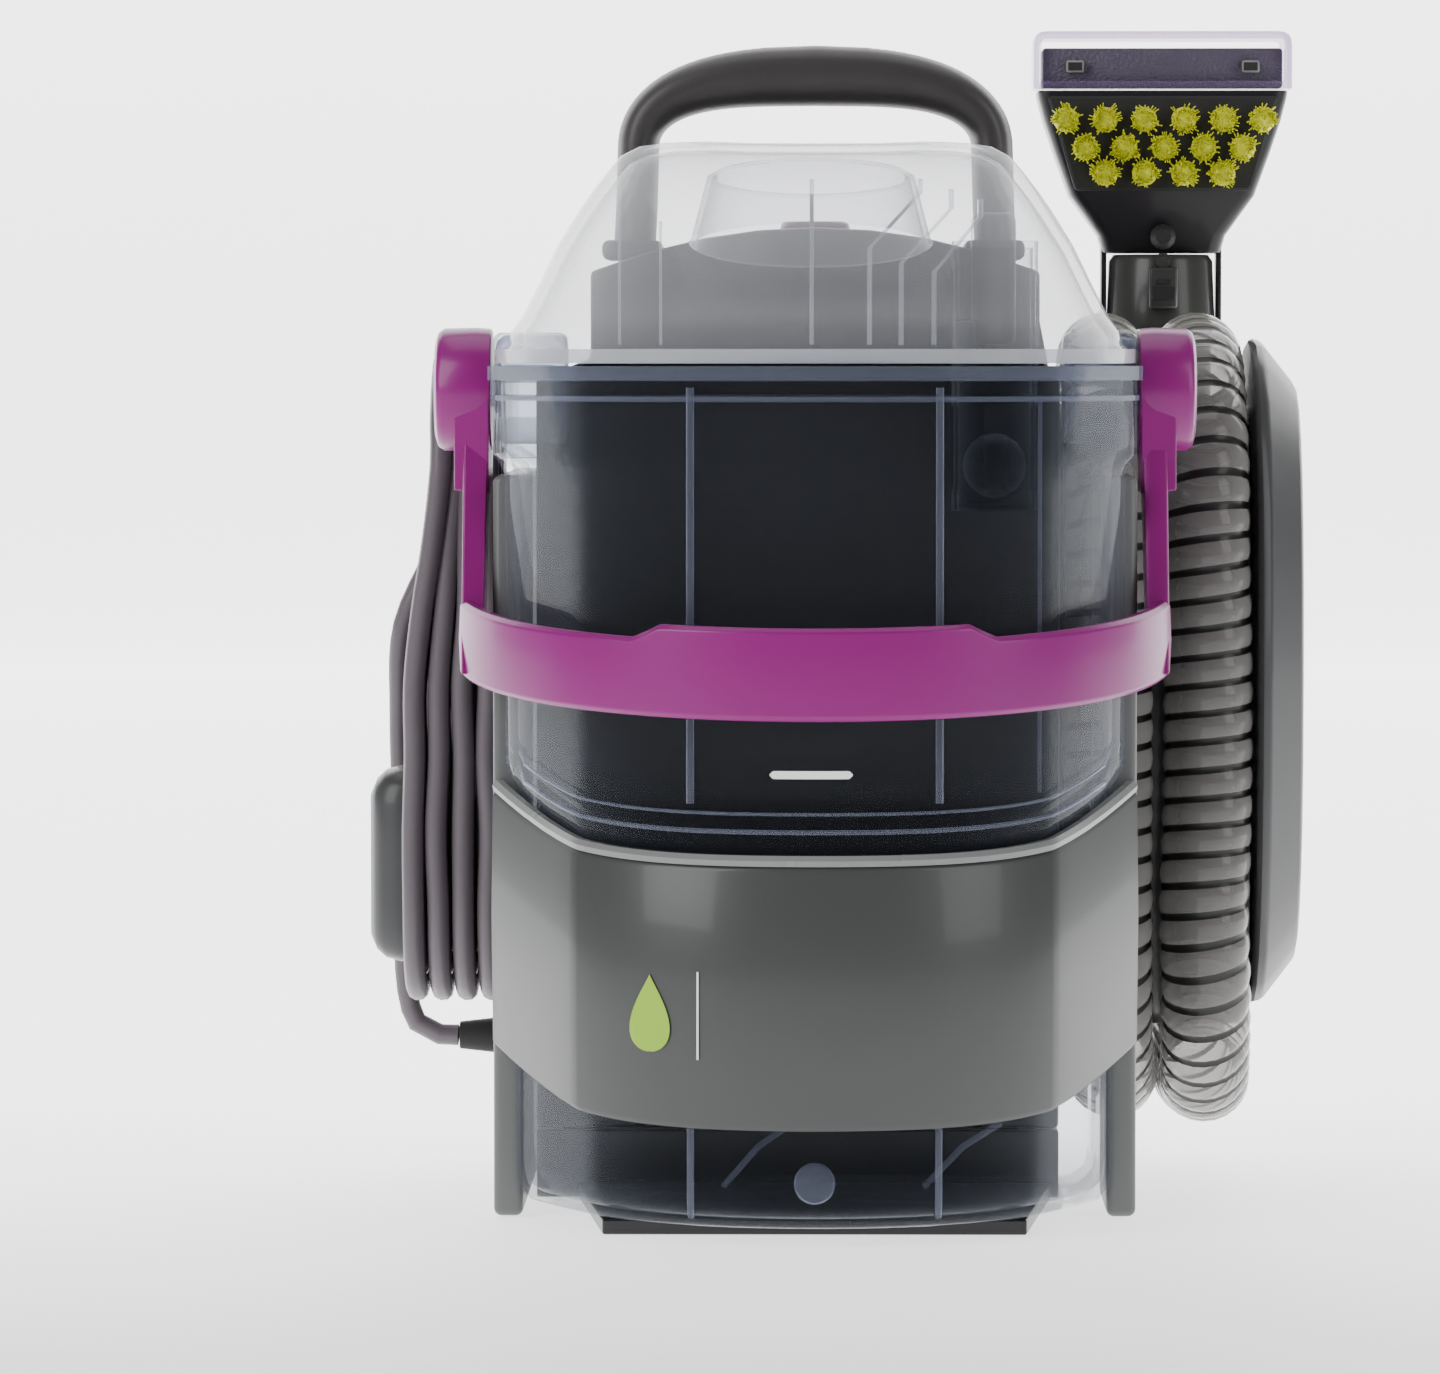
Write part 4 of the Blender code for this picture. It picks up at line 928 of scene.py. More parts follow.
# ---------------------------------------------------------------- housing and handle
class CLEANER_OT_housing(bpy.types.Operator):
    """Dark dome behind the lid, vents and the carry handle"""
    bl_idname = "cleaner.housing"
    bl_label = "Housing and handle"

    def execute(self, context):
        self.handle()
        for node, finish, wall in (("body_front_shell", dark_grained(), 0.0030), ("body_rear_shell",
                                                                                  satin_grey(), 0.0030)):
            carried(node, finish, "root", 0.0022)
        return {'FINISHED'}

    def handle(self):
        """One arch of soft-touch plastic with flared feet."""
        top = high("carry_handle")[2]
        foot = DOME_Z - 0.0045
        half = 0.0525
        depth = -0.010
        route = [(half + 0.0010, foot), (half + 0.0008, foot + 0.004), (half + 0.0004, foot + 0.012)]
        for i in range(41):
            angle = math.pi * i / 40
            x = half * math.copysign(abs(math.cos(angle)) ** 0.50, math.cos(angle))
            route.append((x,
                          top - 0.027 + 0.0180 * abs(math.sin(angle)) ** 0.85 - 0.0040 * (x / half) ** 2))
        route += [(-x, z) for x, z in reversed(route[:3])]
        rings = []
        for i, (x, z) in enumerate(route):
            run = (Vector(route[min(i + 1, len(route) - 1)]) - Vector(route[max(i - 1, 0)])).normalized()
            across = Vector((run.y, -run.x))
            crown = 1 - min(1.0, abs(x) / half) ** 2
            thick = 0.0062 + 0.0028 * crown
            reach = 0.0130 - 0.0005 * crown
            ring = []
            for k in range(28):
                a = math.tau * k / 28
                c = math.copysign(abs(math.cos(a)) ** 0.82, math.cos(a))
                s = math.copysign(abs(math.sin(a)) ** 0.82, math.sin(a))
                ring.append((x + across.x * thick * c, depth + reach * s, z + across.y * thick * c))
            rings.append(ring)
        bm = bmesh.new()
        skin(bm, rings)
        settle("handle_arch", bm, soft_touch(), "root", ("carry_handle",), sharp=60)
        for side in (-1, 1):
            bm = bmesh.new()
            x = side * (half + 0.001)
            block(bm, (x - 0.0095, depth - 0.0155, foot - 0.0050), (x + 0.0085, depth + 0.0155,
                                                                    foot + 0.0010), 0.0022, 3)
            settle("handle_socket_right" if side > 0 else "handle_socket_left", bm, dark_grained(), "root")


def carried(node, finish, body, bevel=0.0008, sharp=32.0, name=None):
    """A finer copy of a CAD piece: merged, cleaned, softly bevelled and finished."""
    bm = bmesh.new()
    bm.from_mesh(frame["nodes"][node].data)
    bmesh.ops.remove_doubles(bm, verts=bm.verts, dist=0.00001)
    bmesh.ops.dissolve_limit(bm, angle_limit=math.radians(1.5), verts=bm.verts, edges=bm.edges)
    return settle(name or node + "_fine", bm, finish, body, (node,), sharp=sharp, bevel=bevel, recalc=False)


BODY_OF = {node: body for body,
           members in frame["record"]["behaviour"]["bodies"].items() for node in members}


class CLEANER_OT_carried(bpy.types.Operator):
    """Pieces whose frame shape is right: finer edges and a finish for each"""
    bl_idname = "cleaner.carried"
    bl_label = "Carried pieces"

    def execute(self, context):
        groups = (
            (dark_grained(), 0.0006, ("base_pan", "fan_housing", "fan_cover", "suction_duct", "water_pump",
                                      "switch_block",
                                      "clean_tank_cap", "tank_receiver", "hose_hub", "hose_port", "wand_cradle")),
            (black_rubber(), 0.0003, ("lid_gasket", "motor_mount", "cap_gasket", "cord_gland",
                                      "foot_front_left",
                                      "foot_front_right", "foot_rear_left", "foot_rear_right")),
            (bright_steel(), 0.0002, ("vacuum_motor", "impeller", "button_spring", "valve_spring",
                                      "trigger_spring",
                                      "base_screw_1", "base_screw_2")),
            (tank_clear(), 0.0002, ("float_cage",)),
            (tank_clear(), 0.0, ("float_ball",)),
            (tank_edge(), 0.0003, ("bail_pin_left", "bail_pin_right", "pump_inlet_tube",
                                   "pump_outlet_tube")),
            (violet_gloss(), 0.0006, ("power_button", "grip_trigger")),
            (tool_grey(), 0.0012, ("grip_shell_left", "grip_shell_right")),
            (satin_grey(), 0.0012, ("cord_hook_upper",)),
            (white_print(), 0.0, ("valve_plunger",)),
        )
        for finish, bevel, nodes in groups:
            for node in nodes:
                carried(node, finish, BODY_OF[node], bevel)
        return {'FINISHED'}


# ---------------------------------------------------------------- power cord
GLAND_TIP = (-0.1093, 0.0490, 0.0400)
LEAD = [GLAND_TIP, (-0.1150, 0.0492, 0.0402), (-0.1220, 0.0488, 0.0440), (-0.1250, 0.0478, 0.0540),
        (-0.1258, 0.0462, 0.0680),
        (-0.1260, 0.0440, 0.0880), (-0.1260, 0.0400, 0.1100), (-0.1262, 0.0320, 0.1400), (-0.1245, 0.0235,
                                                                                          0.1670)]


class CLEANER_OT_power_cord(bpy.types.Operator):
    """Mains lead wound on the two hooks, its hooks and plug"""
    bl_idname = "cleaner.power_cord"
    bl_label = "Power cord"

    def execute(self, context):
        soft = context.scene.cleaner_soft
        points = LEAD + self.winding(soft) + [(-0.0985, 0.0395, 0.0960), (-0.1010, 0.0420, 0.1120),
                                              (-0.1060, 0.0446, 0.1300),
                                              (-0.1090, 0.0449, 0.1510)]
        line = smooth_path(points, 0.006)
        curve = bpy.data.curves.new("power_cord", 'CURVE')
        curve.dimensions = '3D'
        curve.bevel_depth = soft.cord_diameter / 2
        curve.bevel_resolution = 3
        spline = curve.splines.new('POLY')
        spline.points.add(len(line) - 1)
        for point, place in zip(spline.points, line):
            point.co = (*place, 1.0)
        spline.use_smooth = True
        curve.materials.append(cord_jacket())
        cord = bpy.data.objects.new("power_cord", curve)
        context.scene.collection.objects.link(cord)
        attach(cord, "root")
        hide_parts("power_cord_winding", "power_cord_lead")
        plug = self.plug()
        self.lower_hook()
        return {'FINISHED'}

    def winding(self, soft):
        """Turns on the hooks: four abreast, layer over layer, drawn together at the top."""
        rng = random.Random(5)
        top_r = 0.0148
        stations = []
        for k in range(6):
            stations.append(("up", k / 6))
        stations += [("over", k / 8) for k in range(8)]
        stations += [("down", k / 6) for k in range(6)]
        stations += [("under", k / 8) for k in range(8)]
        out = []
        for turn in range(soft.cord_turns):
            for index, (leg, part) in enumerate(stations):
                if turn == 0 and index < 5:
                    continue
                step = turn + (min(1.0, index / 6) - 1.0 if leg == "up" else 0.0)
                layer, column = self.berth(step)
                span = HOOK_HIGH_Z - HOOK_LOW_Z
                if leg == "up":
                    height = part
                elif leg == "down":
                    height = 1 - part
                else:
                    height = 1.0 if leg == "over" else 0.0
                pinch = min(1.0, max(0.0, (height - 0.45) / 0.55))
                pinch = pinch * pinch * (3 - 2 * pinch)
                gap = 0.0074 - 0.0028 * pinch
                odd = 0.5 - 0.5 * math.cos(math.pi * column)
                radius = top_r + layer * 0.0067 + 0.0032 * odd * pinch
                x = -(SIDE_X + 0.0044 + column * gap)
                angle = {"over": math.pi * part, "under": math.pi + math.pi * part}.get(leg)
                sway = rng.uniform(-0.0007, 0.0007)
                if angle is None:
                    side = 1 if leg == "up" else -1
                    out.append((x - sway, HOOK_Y + side * (radius + 0.3 * abs(sway)),
                                HOOK_LOW_Z + span * height))
                else:
                    base = HOOK_HIGH_Z if leg == "over" else HOOK_LOW_Z
                    out.append((x, HOOK_Y + radius * math.cos(angle), base + radius * math.sin(angle)))
        return out

    def berth(self, step):
        """Layer and column of a turn, counted from the outside face of the first layer."""
        step = max(0.0, step)
        turn = int(step)
        part = step - turn
        seats = []
        for number in (turn, turn + 1):
            layer, place = divmod(number, 4)
            seats.append((layer, 3 - place if layer % 2 == 0 else place))
        return tuple(a + (b - a) * part for a, b in zip(*seats))

    def plug(self):
        bm = bmesh.new()
        lowest, highest = low("power_plug"), high("power_plug")
        body_top = 0.1815
        x = (lowest[0] + highest[0]) / 2
        y = (lowest[1] + highest[1]) / 2
        rings = []
        for z, wide, deep in ((lowest[2], 0.0045, 0.0045), (lowest[2] + 0.010, 0.0050, 0.0050),
                              (lowest[2] + 0.016, 0.0092, 0.0068),
                              (body_top - 0.004, 0.0098, 0.0073), (body_top - 0.001, 0.0096,
                                                                   0.0071), (body_top, 0.0088, 0.0064)):
            rings.append([(x + wide * math.copysign(abs(math.cos(a)) ** 0.7, math.cos(a)),
                           y + deep * math.copysign(abs(math.sin(a)) ** 0.7, math.sin(a)), z)
                          for a in (math.tau * k / 28 for k in range(28))])
        skin(bm, rings)
        plug = settle("plug_body", bm, black_rubber(), "root", ("power_plug",), sharp=50)
        bm = bmesh.new()
        for side in (-1, 1):
            block(bm, (x + side * 0.0050 - 0.0008, y - 0.0030, body_top - 0.001),
                  (x + side * 0.0050 + 0.0008, y + 0.0030, highest[2]), 0.0004, 2)
        blades = settle("plug_blades", bm, bright_steel(), "root")
        blades.parent = plug
        return plug

    def lower_hook(self):
        """Cleat with a dished face and a rounded rim."""
        x_out = low("cord_hook_lower")[0]
        y_low, y_high = low("cord_hook_lower")[1], high("cord_hook_lower")[1]
        z_low, z_high = low("cord_hook_lower")[2], high("cord_hook_lower")[2]
        bm = bmesh.new()
        turned(bm, [(0.0, 0.0), (HOOK_Y + 0.0055, 0.0), (HOOK_Y + 0.0055, 0.0300), (0.0, 0.0300)],
               (-SIDE_X - 0.0004, HOOK_Y, HOOK_LOW_Z), (-1, 0, 0), 40)
        outline = [(y_low, z_low), (y_high, z_low), (y_high, z_high), (y_low, z_high)]
        outline = cut_corners(outline, 0.0125)
        edge = rounded(outline, 1)
        skin(bm, [[(x_out + back, y, z) for y, z in shrunk(edge, tuck)]
                  for back, tuck in ((0.0150, 0.0), (0.0090, 0.0), (0.0045, 0.0012), (0.0018, 0.0036), (0.0,
                                                                                                        0.0078))])
        settle("cord_hook_lower_shell", bm, wing_grey(), BODY_OF["cord_hook_lower"], ("cord_hook_lower",),
               sharp=40)


# ---------------------------------------------------------------- hose
def hose_route():
    """Centreline: two turns beside each other round the hub, then up into the wand."""
    diameter = 0.027
    loop = 0.056
    inner_x = BODY_RIGHT + diameter / 2 + 0.0015
    outer_x = inner_x + diameter + 0.0015
    rear = HUB_Y + loop
    front = HUB_Y - loop
    middle = (HUB_LOW_Z + HUB_HIGH_Z) / 2
    points = []
    for turn, x in enumerate((inner_x, outer_x)):
        points.append((x, rear, 0.175 if turn == 0 else HUB_LOW_Z + 0.055))
        if turn == 1:
            points.append((x, rear, HUB_HIGH_Z - 0.030))
        for i in range(9):
            a = math.pi * i / 8
            points.append((x, HUB_Y + loop * math.cos(a), HUB_HIGH_Z + loop * math.sin(a)))
        points.append((x + 0.001 * turn, front, middle + 0.02))
        points.append((x + 0.001 * turn, front, middle - 0.02))
        if turn == 0:
            for i in range(9):
                a = math.pi + math.pi * i / 8
                shift = (i / 8) ** 2 * 0.55
                points.append((inner_x + (outer_x - inner_x) * shift, HUB_Y + loop * math.cos(a),
                               HUB_LOW_Z + loop * math.sin(a)))
            points.append((outer_x - 0.0035, rear, HUB_LOW_Z + 0.028))
    for i in range(5):
        a = math.pi + math.pi / 2 * i / 4
        points.append((outer_x + 0.003 * i / 4, HUB_Y + loop * math.cos(a),
                       HUB_LOW_Z + (loop + 0.0015) * math.sin(a)))
    points += [(outer_x + 0.0015, 0.060, 0.0285), (0.1160, 0.088, 0.0330), (0.1115, 0.110, 0.0480), (0.1093,
                                                                                                     0.122, 0.0690),
               (GRIP_X, GRIP_Y, low("grip_shell_left")[2] - 0.003)]
    return points


class CLEANER_OT_hose(bpy.types.Operator):
    """Ribbed suction hose round its hub, with the wing beside it"""
    bl_idname = "cleaner.hose"
    bl_label = "Hose"

    def execute(self, context):
        soft = context.scene.cleaner_soft
        route = smooth_path(hose_route(), 0.004)
        bm = bmesh.new()
        self.ribbed(bm, route, soft.hose_diameter / 2, soft.rib_pitch)
        hose = settle("hose_tube", bm, (hose_film(), hose_helix()), "root", ("suction_hose",), sharp=60,
                      recalc=False)
        bm = bmesh.new()
        turned(bm, [(0.0100, -0.004), (0.0148, -0.004), (0.0152, 0.0), (0.0152, 0.014), (0.0144, 0.016),
                    (0.0100, 0.016)],
               (GRIP_X, GRIP_Y, low("grip_shell_left")[2] - 0.014), (0, 0, 1), 40)
        settle("hose_cuff", bm, black_rubber(), "root")
        carried("hose_wing", wing_grey(), "root", 0.0022)
        return {'FINISHED'}

    def ribbed(self, bm, route, radius, pitch):
        """A tube whose rows follow the helix, so that its dark wire stays even."""
        around, along = 24, 8
        total = path_length(route)
        frames = frames_along(route)
        marks = [0.0]
        for a, b in zip(route, route[1:]):
            marks.append(marks[-1] + (b - a).length)
        rows = int(total / pitch * along) - along
        profile = (0.935, 0.965, 0.988, 1.0, 1.004, 1.0, 0.988, 0.965)
        grid = []
        seat = 0
        for row in range(rows + along):
            line = []
            for k in range(around):
                s = min((row / along + k / around) * pitch, total)
                seat = max(0, seat - 20)
                while seat < len(marks) - 2 and marks[seat + 1] < s:
                    seat += 1
                part = (s - marks[seat]) / (marks[seat + 1] - marks[seat])
                here, _, across, up = frames[seat]
                there, _, across2, up2 = frames[seat + 1]
                spot = here.lerp(there, part)
                u = across.lerp(across2, part).normalized()
                v = up.lerp(up2, part).normalized()
                a = math.tau * k / around
                reach = radius * profile[row % along]
                line.append(bm.verts.new(spot + u * reach * math.cos(a) + v * reach * math.sin(a)))
            grid.append(line)
        for row in range(rows):
            quads = [(grid[row][k], grid[row][k + 1], grid[row + 1][k + 1], grid[row + 1][k])
                     for k in range(around - 1)]
            if row + 1 < rows:
                quads.append((grid[row][-1], grid[row + along][0], grid[row + along + 1][0], grid[row + 1][-1]))
            for corners in quads:
                face = bm.faces.new(corners)
                face.material_index = 1 if row % along in (0, along - 1) else 0


# ---------------------------------------------------------------- tool
class CLEANER_OT_tool(bpy.types.Operator):
    """Brush tool with its window, tufts, collar and latch"""
    bl_idname = "cleaner.tool"
    bl_label = "Brush tool"

    def execute(self, context):
        y_face = low("tool_body")[1]
        y_back = high("tool_body")[1]
        z_shoulder = low("tool_window")[2] - 0.0006
        bm = bmesh.new()
        rings = []
        for z, half, near, far in ((low("tool_body")[2], 0.0185, 0.0085, 0.0085), (0.2860, 0.0200, 0.0100,
                                                                                   0.0100), (0.2930, 0.0250,
                                                                                             0.0110, 0.0115),
                                   (0.2985, 0.0290, 0.0118, 0.0125), (0.3110, 0.0335, 0.0128,
                                                                      0.0128), (0.3220, 0.0372, 0.0130,
                                                                                0.0130),
                                   (0.3290, 0.0390, 0.0130, 0.0130), (z_shoulder, 0.0394, 0.0130, 0.0130)):
            mid = (y_face + y_back) / 2
            corners = [(GRIP_X - half, mid - near), (GRIP_X + half, mid - near), (GRIP_X + half, mid + far),
                       (GRIP_X - half, mid + far)]
            rings.append([(x, y, z) for x, y in cut_corners(corners, 0.0045)])
        skin(bm, rings)
        settle("tool_head", bm, dark_grained(), "tool", ("tool_body",), sharp=42, bevel=0.0006)
        self.window()
        self.brush()
        self.neck()
        return {'FINISHED'}

    def window(self):
        low_z, high_z = low("tool_window")[2], high("tool_window")[2]
        x0, x1 = low("tool_window")[0], high("tool_window")[0]
        y0, y1 = low("tool_window")[1], high("tool_window")[1]
        bm = bmesh.new()
        outer = cut_corners([(x0, low_z), (x1, low_z), (x1, high_z), (x0, high_z)], 0.0042, (False, False,
                                                                                             True, True))
        inner = shrunk(outer, 0.0024)
        skin(bm, [[(x, y0 + 0.0022, z) for x, z in inner], [(x, y0, z) for x, z in inner], [(x, y0 + 0.0006,
                                                                                             z) for x, z in outer],
                  [(x, y1 - 0.0006, z) for x, z in outer], [(x, y1, z) for x, z in inner], [(x, y1 - 0.0022,
                                                                                             z) for x, z in inner]], False)
        settle("tool_window_shell", bm, lavender_clear(), "tool", ("tool_window",), sharp=30)
        bm = bmesh.new()
        block(bm, (x0 + 0.0028, y0 + 0.0030, low_z + 0.0002), (x1 - 0.0028, y1 - 0.0030, high_z - 0.0052),
              0.0010, 2)
        settle("tool_mouth", bm, mouth_violet(), "tool")
        for side in (-1, 1):
            bm = bmesh.new()
            x = GRIP_X + side * 0.0275
            block(bm, (x - 0.0028, y0 - 0.0003, 0.3370), (x + 0.0028, y0 + 0.0032, 0.3408), 0.0004, 1)
            settle("window_slot_right" if side > 0 else "window_slot_left", bm, lip_grey(), "tool")
            bm = bmesh.new()
            block(bm, (x - 0.0022, y0 - 0.0005, 0.3376), (x + 0.0022, y0 + 0.0030, 0.3402), 0.0002, 1)
            settle("slot_core_right" if side > 0 else "slot_core_left", bm, black_rubber(), "tool")

    def brush(self):
        y_face = low("tool_body")[1]
        bm = bmesh.new()
        outline = cut_corners([(GRIP_X - 0.0275, 0.3000), (GRIP_X + 0.0275, 0.3000), (GRIP_X + 0.0362,
                                                                                      0.3296), (GRIP_X - 0.0362, 0.3296)], 0.0015)
        skin(bm, [[(x, y_face + 0.0008, z) for x, z in outline], [(x, low("bristle_block")[1] + 0.0006,
                                                                   z) for x, z in outline],
                  [(x, low("bristle_block")[1], z) for x, z in shrunk(outline, 0.0008)]])
        settle("bristle_plate", bm, black_rubber(), "tool", ("bristle_block",), sharp=30)
        rows = ((0.3221, 6, 0.0123), (0.3133, 5, 0.0123), (0.3054, 4, 0.0122))
        rng = random.Random(11)
        bm = bmesh.new()
        root_y = low("bristle_block")[1] + 0.0006
        for z, count, pitch in rows:
            for i in range(count):
                x = GRIP_X + 0.0002 + (i - (count - 1) / 2) * pitch
                turned(bm, [(0.0, 0.0046), (0.0020, 0.0043), (0.0034, 0.0034), (0.0040, 0.0020), (0.0038,
                                                                                                  0.0), (0.0, 0.0)],
                       (x, root_y, z), (0, -1, 0), 14)
                for _ in range(170):
                    angle = rng.uniform(0, math.tau)
                    reach = 0.0032 * math.sqrt(rng.random())
                    splay = rng.uniform(1.15, 1.75)
                    foot = Vector((x + reach * math.cos(angle), root_y, z + reach * math.sin(angle)))
                    tip = Vector((x + reach * splay * math.cos(angle + rng.uniform(-0.2, 0.2)),
                                  root_y - rng.uniform(0.0050, 0.0062),
                                  z + reach * splay * math.sin(angle)))
                    self.bristle(bm, foot, tip)
        settle("tufts", bm, bristle_nylon(), "tool", sharp=80)

    def bristle(self, bm, foot, tip):
        run = (tip - foot).normalized()
        across = run.orthogonal().normalized() * 0.00030
        up = run.cross(across)
        feet = [bm.verts.new(foot + across * c + up * s) for c, s in ((1, 0), (-0.5, 0.866), (-0.5,
                                                                                              -0.866))]
        tips = [bm.verts.new(tip + (across * c + up * s) * 0.7) for c, s in ((1, 0), (-0.5, 0.866), (-0.5,
                                                                                                     -0.866))]
        for i in range(3):
            j = (i + 1) % 3
            bm.faces.new((feet[i], feet[j], tips[j], tips[i]))
        bm.faces.new(tips)

    def neck(self):
        """Round collar with its dark fins, button and slot."""
        lowest, highest = low("tool_collar"), high("tool_collar")
        z0, z1 = lowest[2], highest[2]
        bm = bmesh.new()
        turned(bm, [(0.0, z1 - z0), (0.0150, z1 - z0), (0.0164, z1 - z0 - 0.0020), (0.0172, 0.0), (0.0,
                                                                                                   0.0)], (GRIP_X, GRIP_Y, z0), (0, 0, 1), 56)
        settle("collar_barrel", bm, tool_grey(), "tool", ("tool_collar",), sharp=34)
        for side in (-1, 1):
            bm = bmesh.new()
            x0, x1 = GRIP_X + side * 0.0172, GRIP_X + side * 0.0190
            block(bm, (min(x0, x1), GRIP_Y - 0.0050, z0), (max(x0, x1), GRIP_Y + 0.0050, z1 + 0.0040),
                  0.0006, 2)
            settle("collar_fin_right" if side > 0 else "collar_fin_left", bm, dark_grained(), "tool")
        bm = bmesh.new()
        front = low("tool_latch")[1]
        block(bm, (GRIP_X - 0.0038, front - 0.0004, 0.2655), (GRIP_X + 0.0038, front + 0.0040, 0.2700),
              0.0004, 1)
        block(bm, (GRIP_X - 0.0024, front - 0.0003, 0.2705), (GRIP_X + 0.0024, front + 0.0040, 0.2722),
              0.0003, 1)
        settle("latch_tooth", bm, black_rubber(), "latch")
        carried("tool_latch", tool_grey(), "latch", 0.0004)
        carried("spray_nozzle", black_rubber(), BODY_OF["spray_nozzle"], 0.0003)
        bm = bmesh.new()
        turned(bm, [(0.0, 0.0010), (0.0019, 0.0010), (0.0023, 0.0002), (0.0030, 0.0002), (0.0030, -0.0010),
                    (0.0, -0.0010)],
               (GRIP_X, GRIP_Y - 0.0166, 0.2775), (0, -1, 0), 28)
        settle("collar_button", bm, tool_grey(), "tool")


def cut_corners(corners, size, which=(True, True, True, True)):
    """Replace chosen corners of an outline with short arcs."""
    out = []
    for i, corner in enumerate(corners):
        here = Vector(corner)
        if not which[i]:
            out.append(tuple(here))
            continue
        before = (Vector(corners[i - 1]) - here).normalized() * size
        after = (Vector(corners[(i + 1) % len(corners)]) - here).normalized() * size
        for k in range(5):
            t = k / 4
            out.append(tuple(here + before * (1 - t) ** 2 + after * t ** 2))
    return out


@finish_of
def mouth_violet():
    return plastic("mouth violet", (0.075, 0.060, 0.095), 0.35, 900, 0.02)


# ---------------------------------------------------------------- rear tank
class CLEANER_OT_clean_tank(bpy.types.Operator):
    """Translucent tank behind the housing"""
    bl_idname = "cleaner.clean_tank"
    bl_label = "Clean water tank"

    def execute(self, context):
        carried("clean_tank", lid_frost(), "clean", 0.0015)
        return {'FINISHED'}


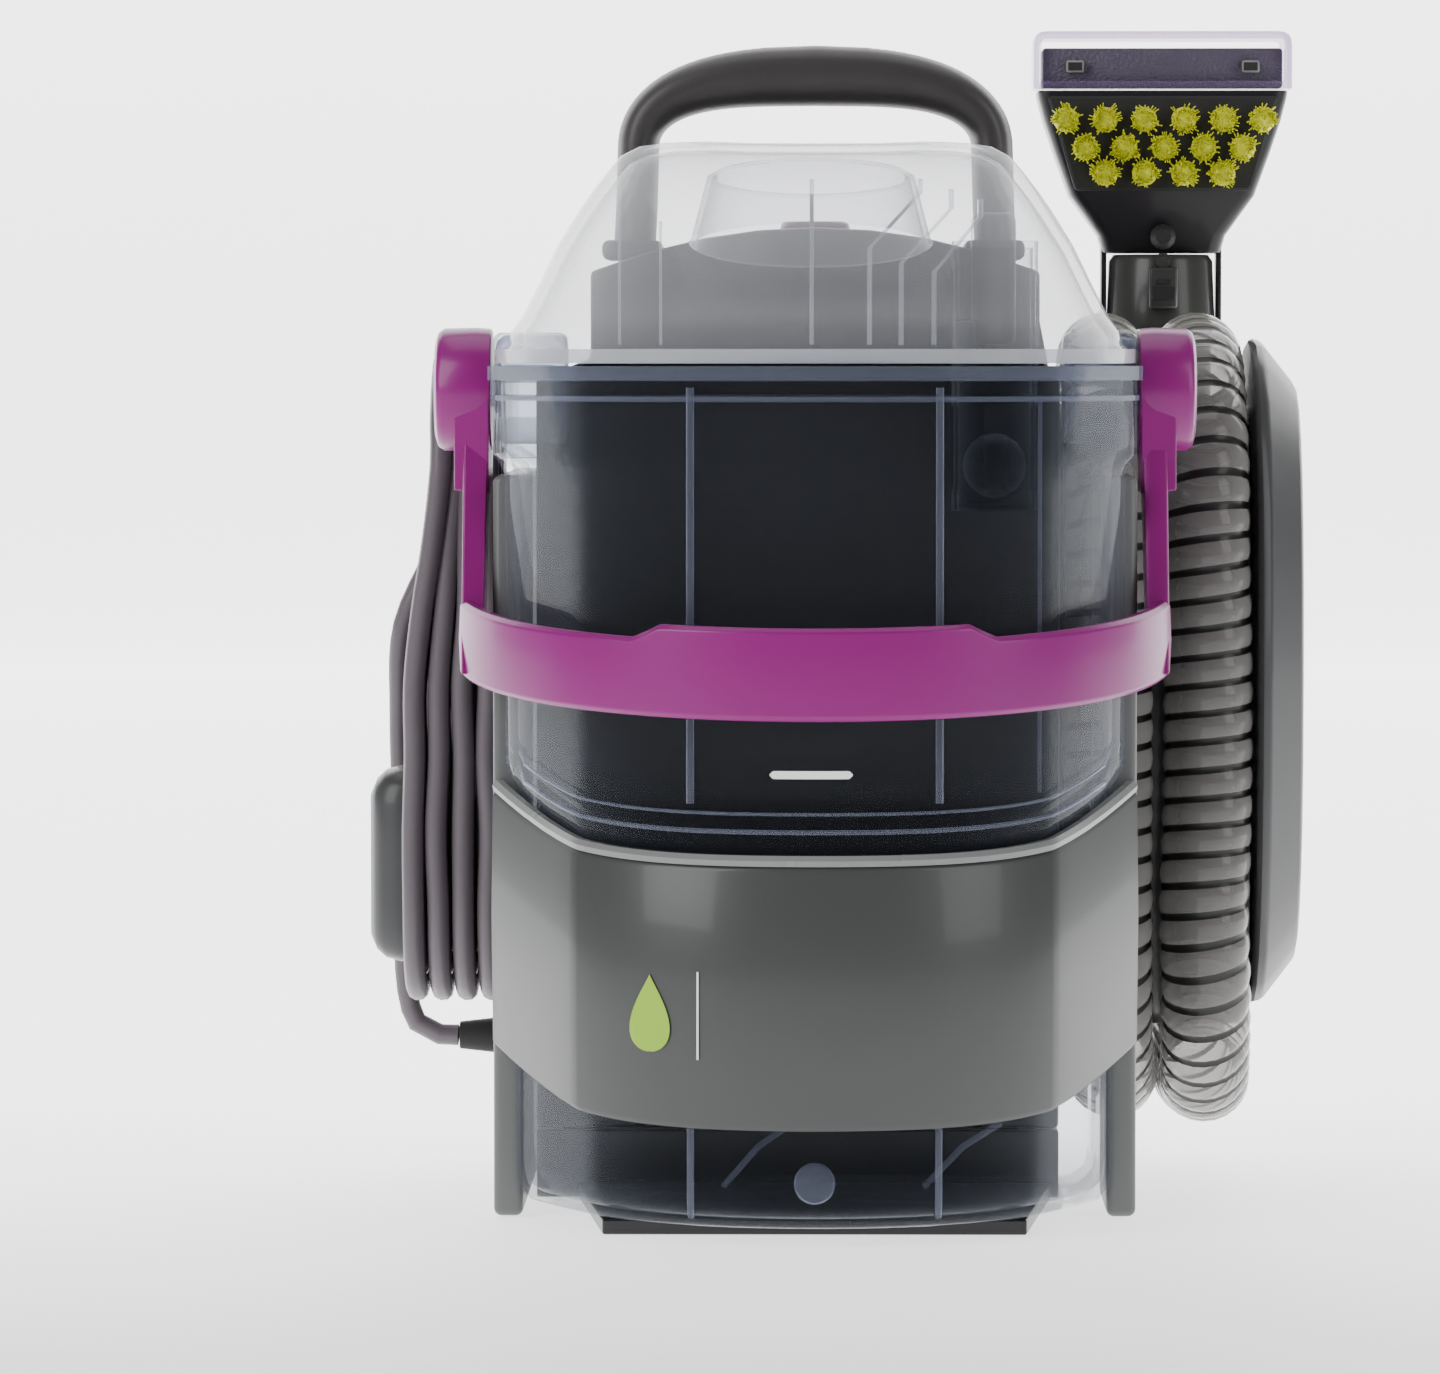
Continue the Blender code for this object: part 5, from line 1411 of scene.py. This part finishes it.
# ---------------------------------------------------------------- stage
class CLEANER_OT_stage(bpy.types.Operator):
    """Pale floor sweep that glows with painted light, dim grey in front and white behind; softboxes and camera"""
    bl_idname = "cleaner.stage"
    bl_label = "Stage"

    def execute(self, context):
        stage = context.scene.cleaner_stage
        floor = Tree("pale floor with painted glow")
        floor.feed(floor.shader.inputs["Base Color"], tuple(stage.floor_colour))
        floor.shader.inputs["Roughness"].default_value = 0.6
        # Painted light: the sweep glows by depth, dim grey at the front and white behind, so the backdrop reads as
        # lit white
        depth = floor.node('ShaderNodeSeparateXYZ', {}, {0: floor.place()}, 1)
        ramp = floor.node('ShaderNodeValToRGB', {'stops': ((0.30, (0.22, 0.22, 0.22)), (0.62, (1.0, 1.0,
                                                                                               1.0)))},
                          {0: depth * 0.5 + 0.5})
        floor.feed(floor.shader.inputs["Emission Color"], ramp)
        floor.shader.inputs["Emission Strength"].default_value = 2.6
        bm = bmesh.new()
        bend = [(3.6 + 0.6 * math.sin(a),
                 0.6 - 0.6 * math.cos(a)) for a in (math.pi / 2 * k / 12 for k in range(13))]
        profile = [(-5.0, 0.0)] + bend + [(4.2, 5.0)]
        rows = [[bm.verts.new((x, y, z - 0.0002)) for x in (-6.0, 6.0)] for y, z in profile]
        for first, second in zip(rows, rows[1:]):
            bm.faces.new((first[0], first[1], second[1], second[0]))
        mesh = bpy.data.meshes.new("floor sweep")
        bm.to_mesh(mesh)
        bm.free()
        mesh.shade_smooth()
        mesh.materials.append(floor.material)
        sweep = bpy.data.objects.new("floor sweep", mesh)
        context.scene.collection.objects.link(sweep)
        world = bpy.data.worlds.new("studio")
        world.use_nodes = True
        world.node_tree.nodes["Background"].inputs["Color"].default_value = (1.0, 1.0, 1.0, 1.0)
        world.node_tree.nodes["Background"].inputs["Strength"].default_value = 0.24
        context.scene.world = world
        self.softbox("key light", (-1.25, -1.15, 1.05), (0.9, 1.5), stage.key_power)
        self.softbox("fill light", (1.35, -0.95, 0.85), (0.7, 1.3), stage.fill_power)
        self.softbox("top light", (0.0, 0.25, 1.9), (1.6, 1.2), stage.fill_power * 1.2)
        self.camera(context, stage)
        return {'FINISHED'}

    def softbox(self, name, place, size, power):
        light = bpy.data.lights.new(name, 'AREA')
        light.shape = 'RECTANGLE'
        light.size, light.size_y = size
        light.energy = power
        lamp = bpy.data.objects.new(name, light)
        lamp.location = place
        lamp.rotation_euler = (Vector((0, 0, 0.17)) - Vector(place)).to_track_quat('-Z', 'Y').to_euler()
        bpy.context.scene.collection.objects.link(lamp)

    def camera(self, context, stage):
        data = bpy.data.cameras.new("camera")
        data.lens = 181.2
        data.sensor_width = 36.0
        camera = bpy.data.objects.new("camera", data)
        place = Vector((0.0, FRONT_Y - stage.camera_distance, stage.camera_height))
        camera.location = place
        camera.rotation_euler = (Vector((-0.0262, FRONT_Y, 0.1569)) - place).to_track_quat('-Z',
                                                                                           'Y').to_euler()
        context.scene.collection.objects.link(camera)
        context.scene.camera = camera


# ---------------------------------------------------------------- panel
PIECES = (CLEANER_OT_dirty_tank, CLEANER_OT_lid, CLEANER_OT_bail, CLEANER_OT_fascia, CLEANER_OT_housing,
          CLEANER_OT_carried,
          CLEANER_OT_power_cord, CLEANER_OT_hose, CLEANER_OT_tool, CLEANER_OT_clean_tank, CLEANER_OT_stage)


class CLEANER_PT_panel(bpy.types.Panel):
    """Lists the pieces of the cleaner"""
    bl_idname = "CLEANER_PT_panel"
    bl_label = "Carpet Cleaner"
    bl_space_type = 'VIEW_3D'
    bl_region_type = 'UI'
    bl_category = "Cleaner"

    def draw(self, context):
        column = self.layout.column(align=True)
        for operator in PIECES:
            column.operator(operator.bl_idname)
        for group in (context.scene.cleaner_stage, context.scene.cleaner_colours,
                      context.scene.cleaner_soft):
            box = self.layout.box()
            for name in group.__annotations__:
                box.prop(group, name)


SETTINGS = {"cleaner_stage": CleanerStage, "cleaner_colours": CleanerColours, "cleaner_soft": CleanerSoft}


def register():
    for kind in (*SETTINGS.values(), *PIECES, CLEANER_PT_panel):
        bpy.utils.register_class(kind)
    for name, kind in SETTINGS.items():
        setattr(bpy.types.Scene, name, PointerProperty(type=kind))


def unregister():
    for name in SETTINGS:
        delattr(bpy.types.Scene, name)
    for kind in reversed((*SETTINGS.values(), *PIECES, CLEANER_PT_panel)):
        bpy.utils.unregister_class(kind)


def main():
    register()
    for operator in PIECES:
        group, name = operator.bl_idname.split(".")
        getattr(getattr(bpy.ops, group), name)()


if __name__ == "__main__":
    main()
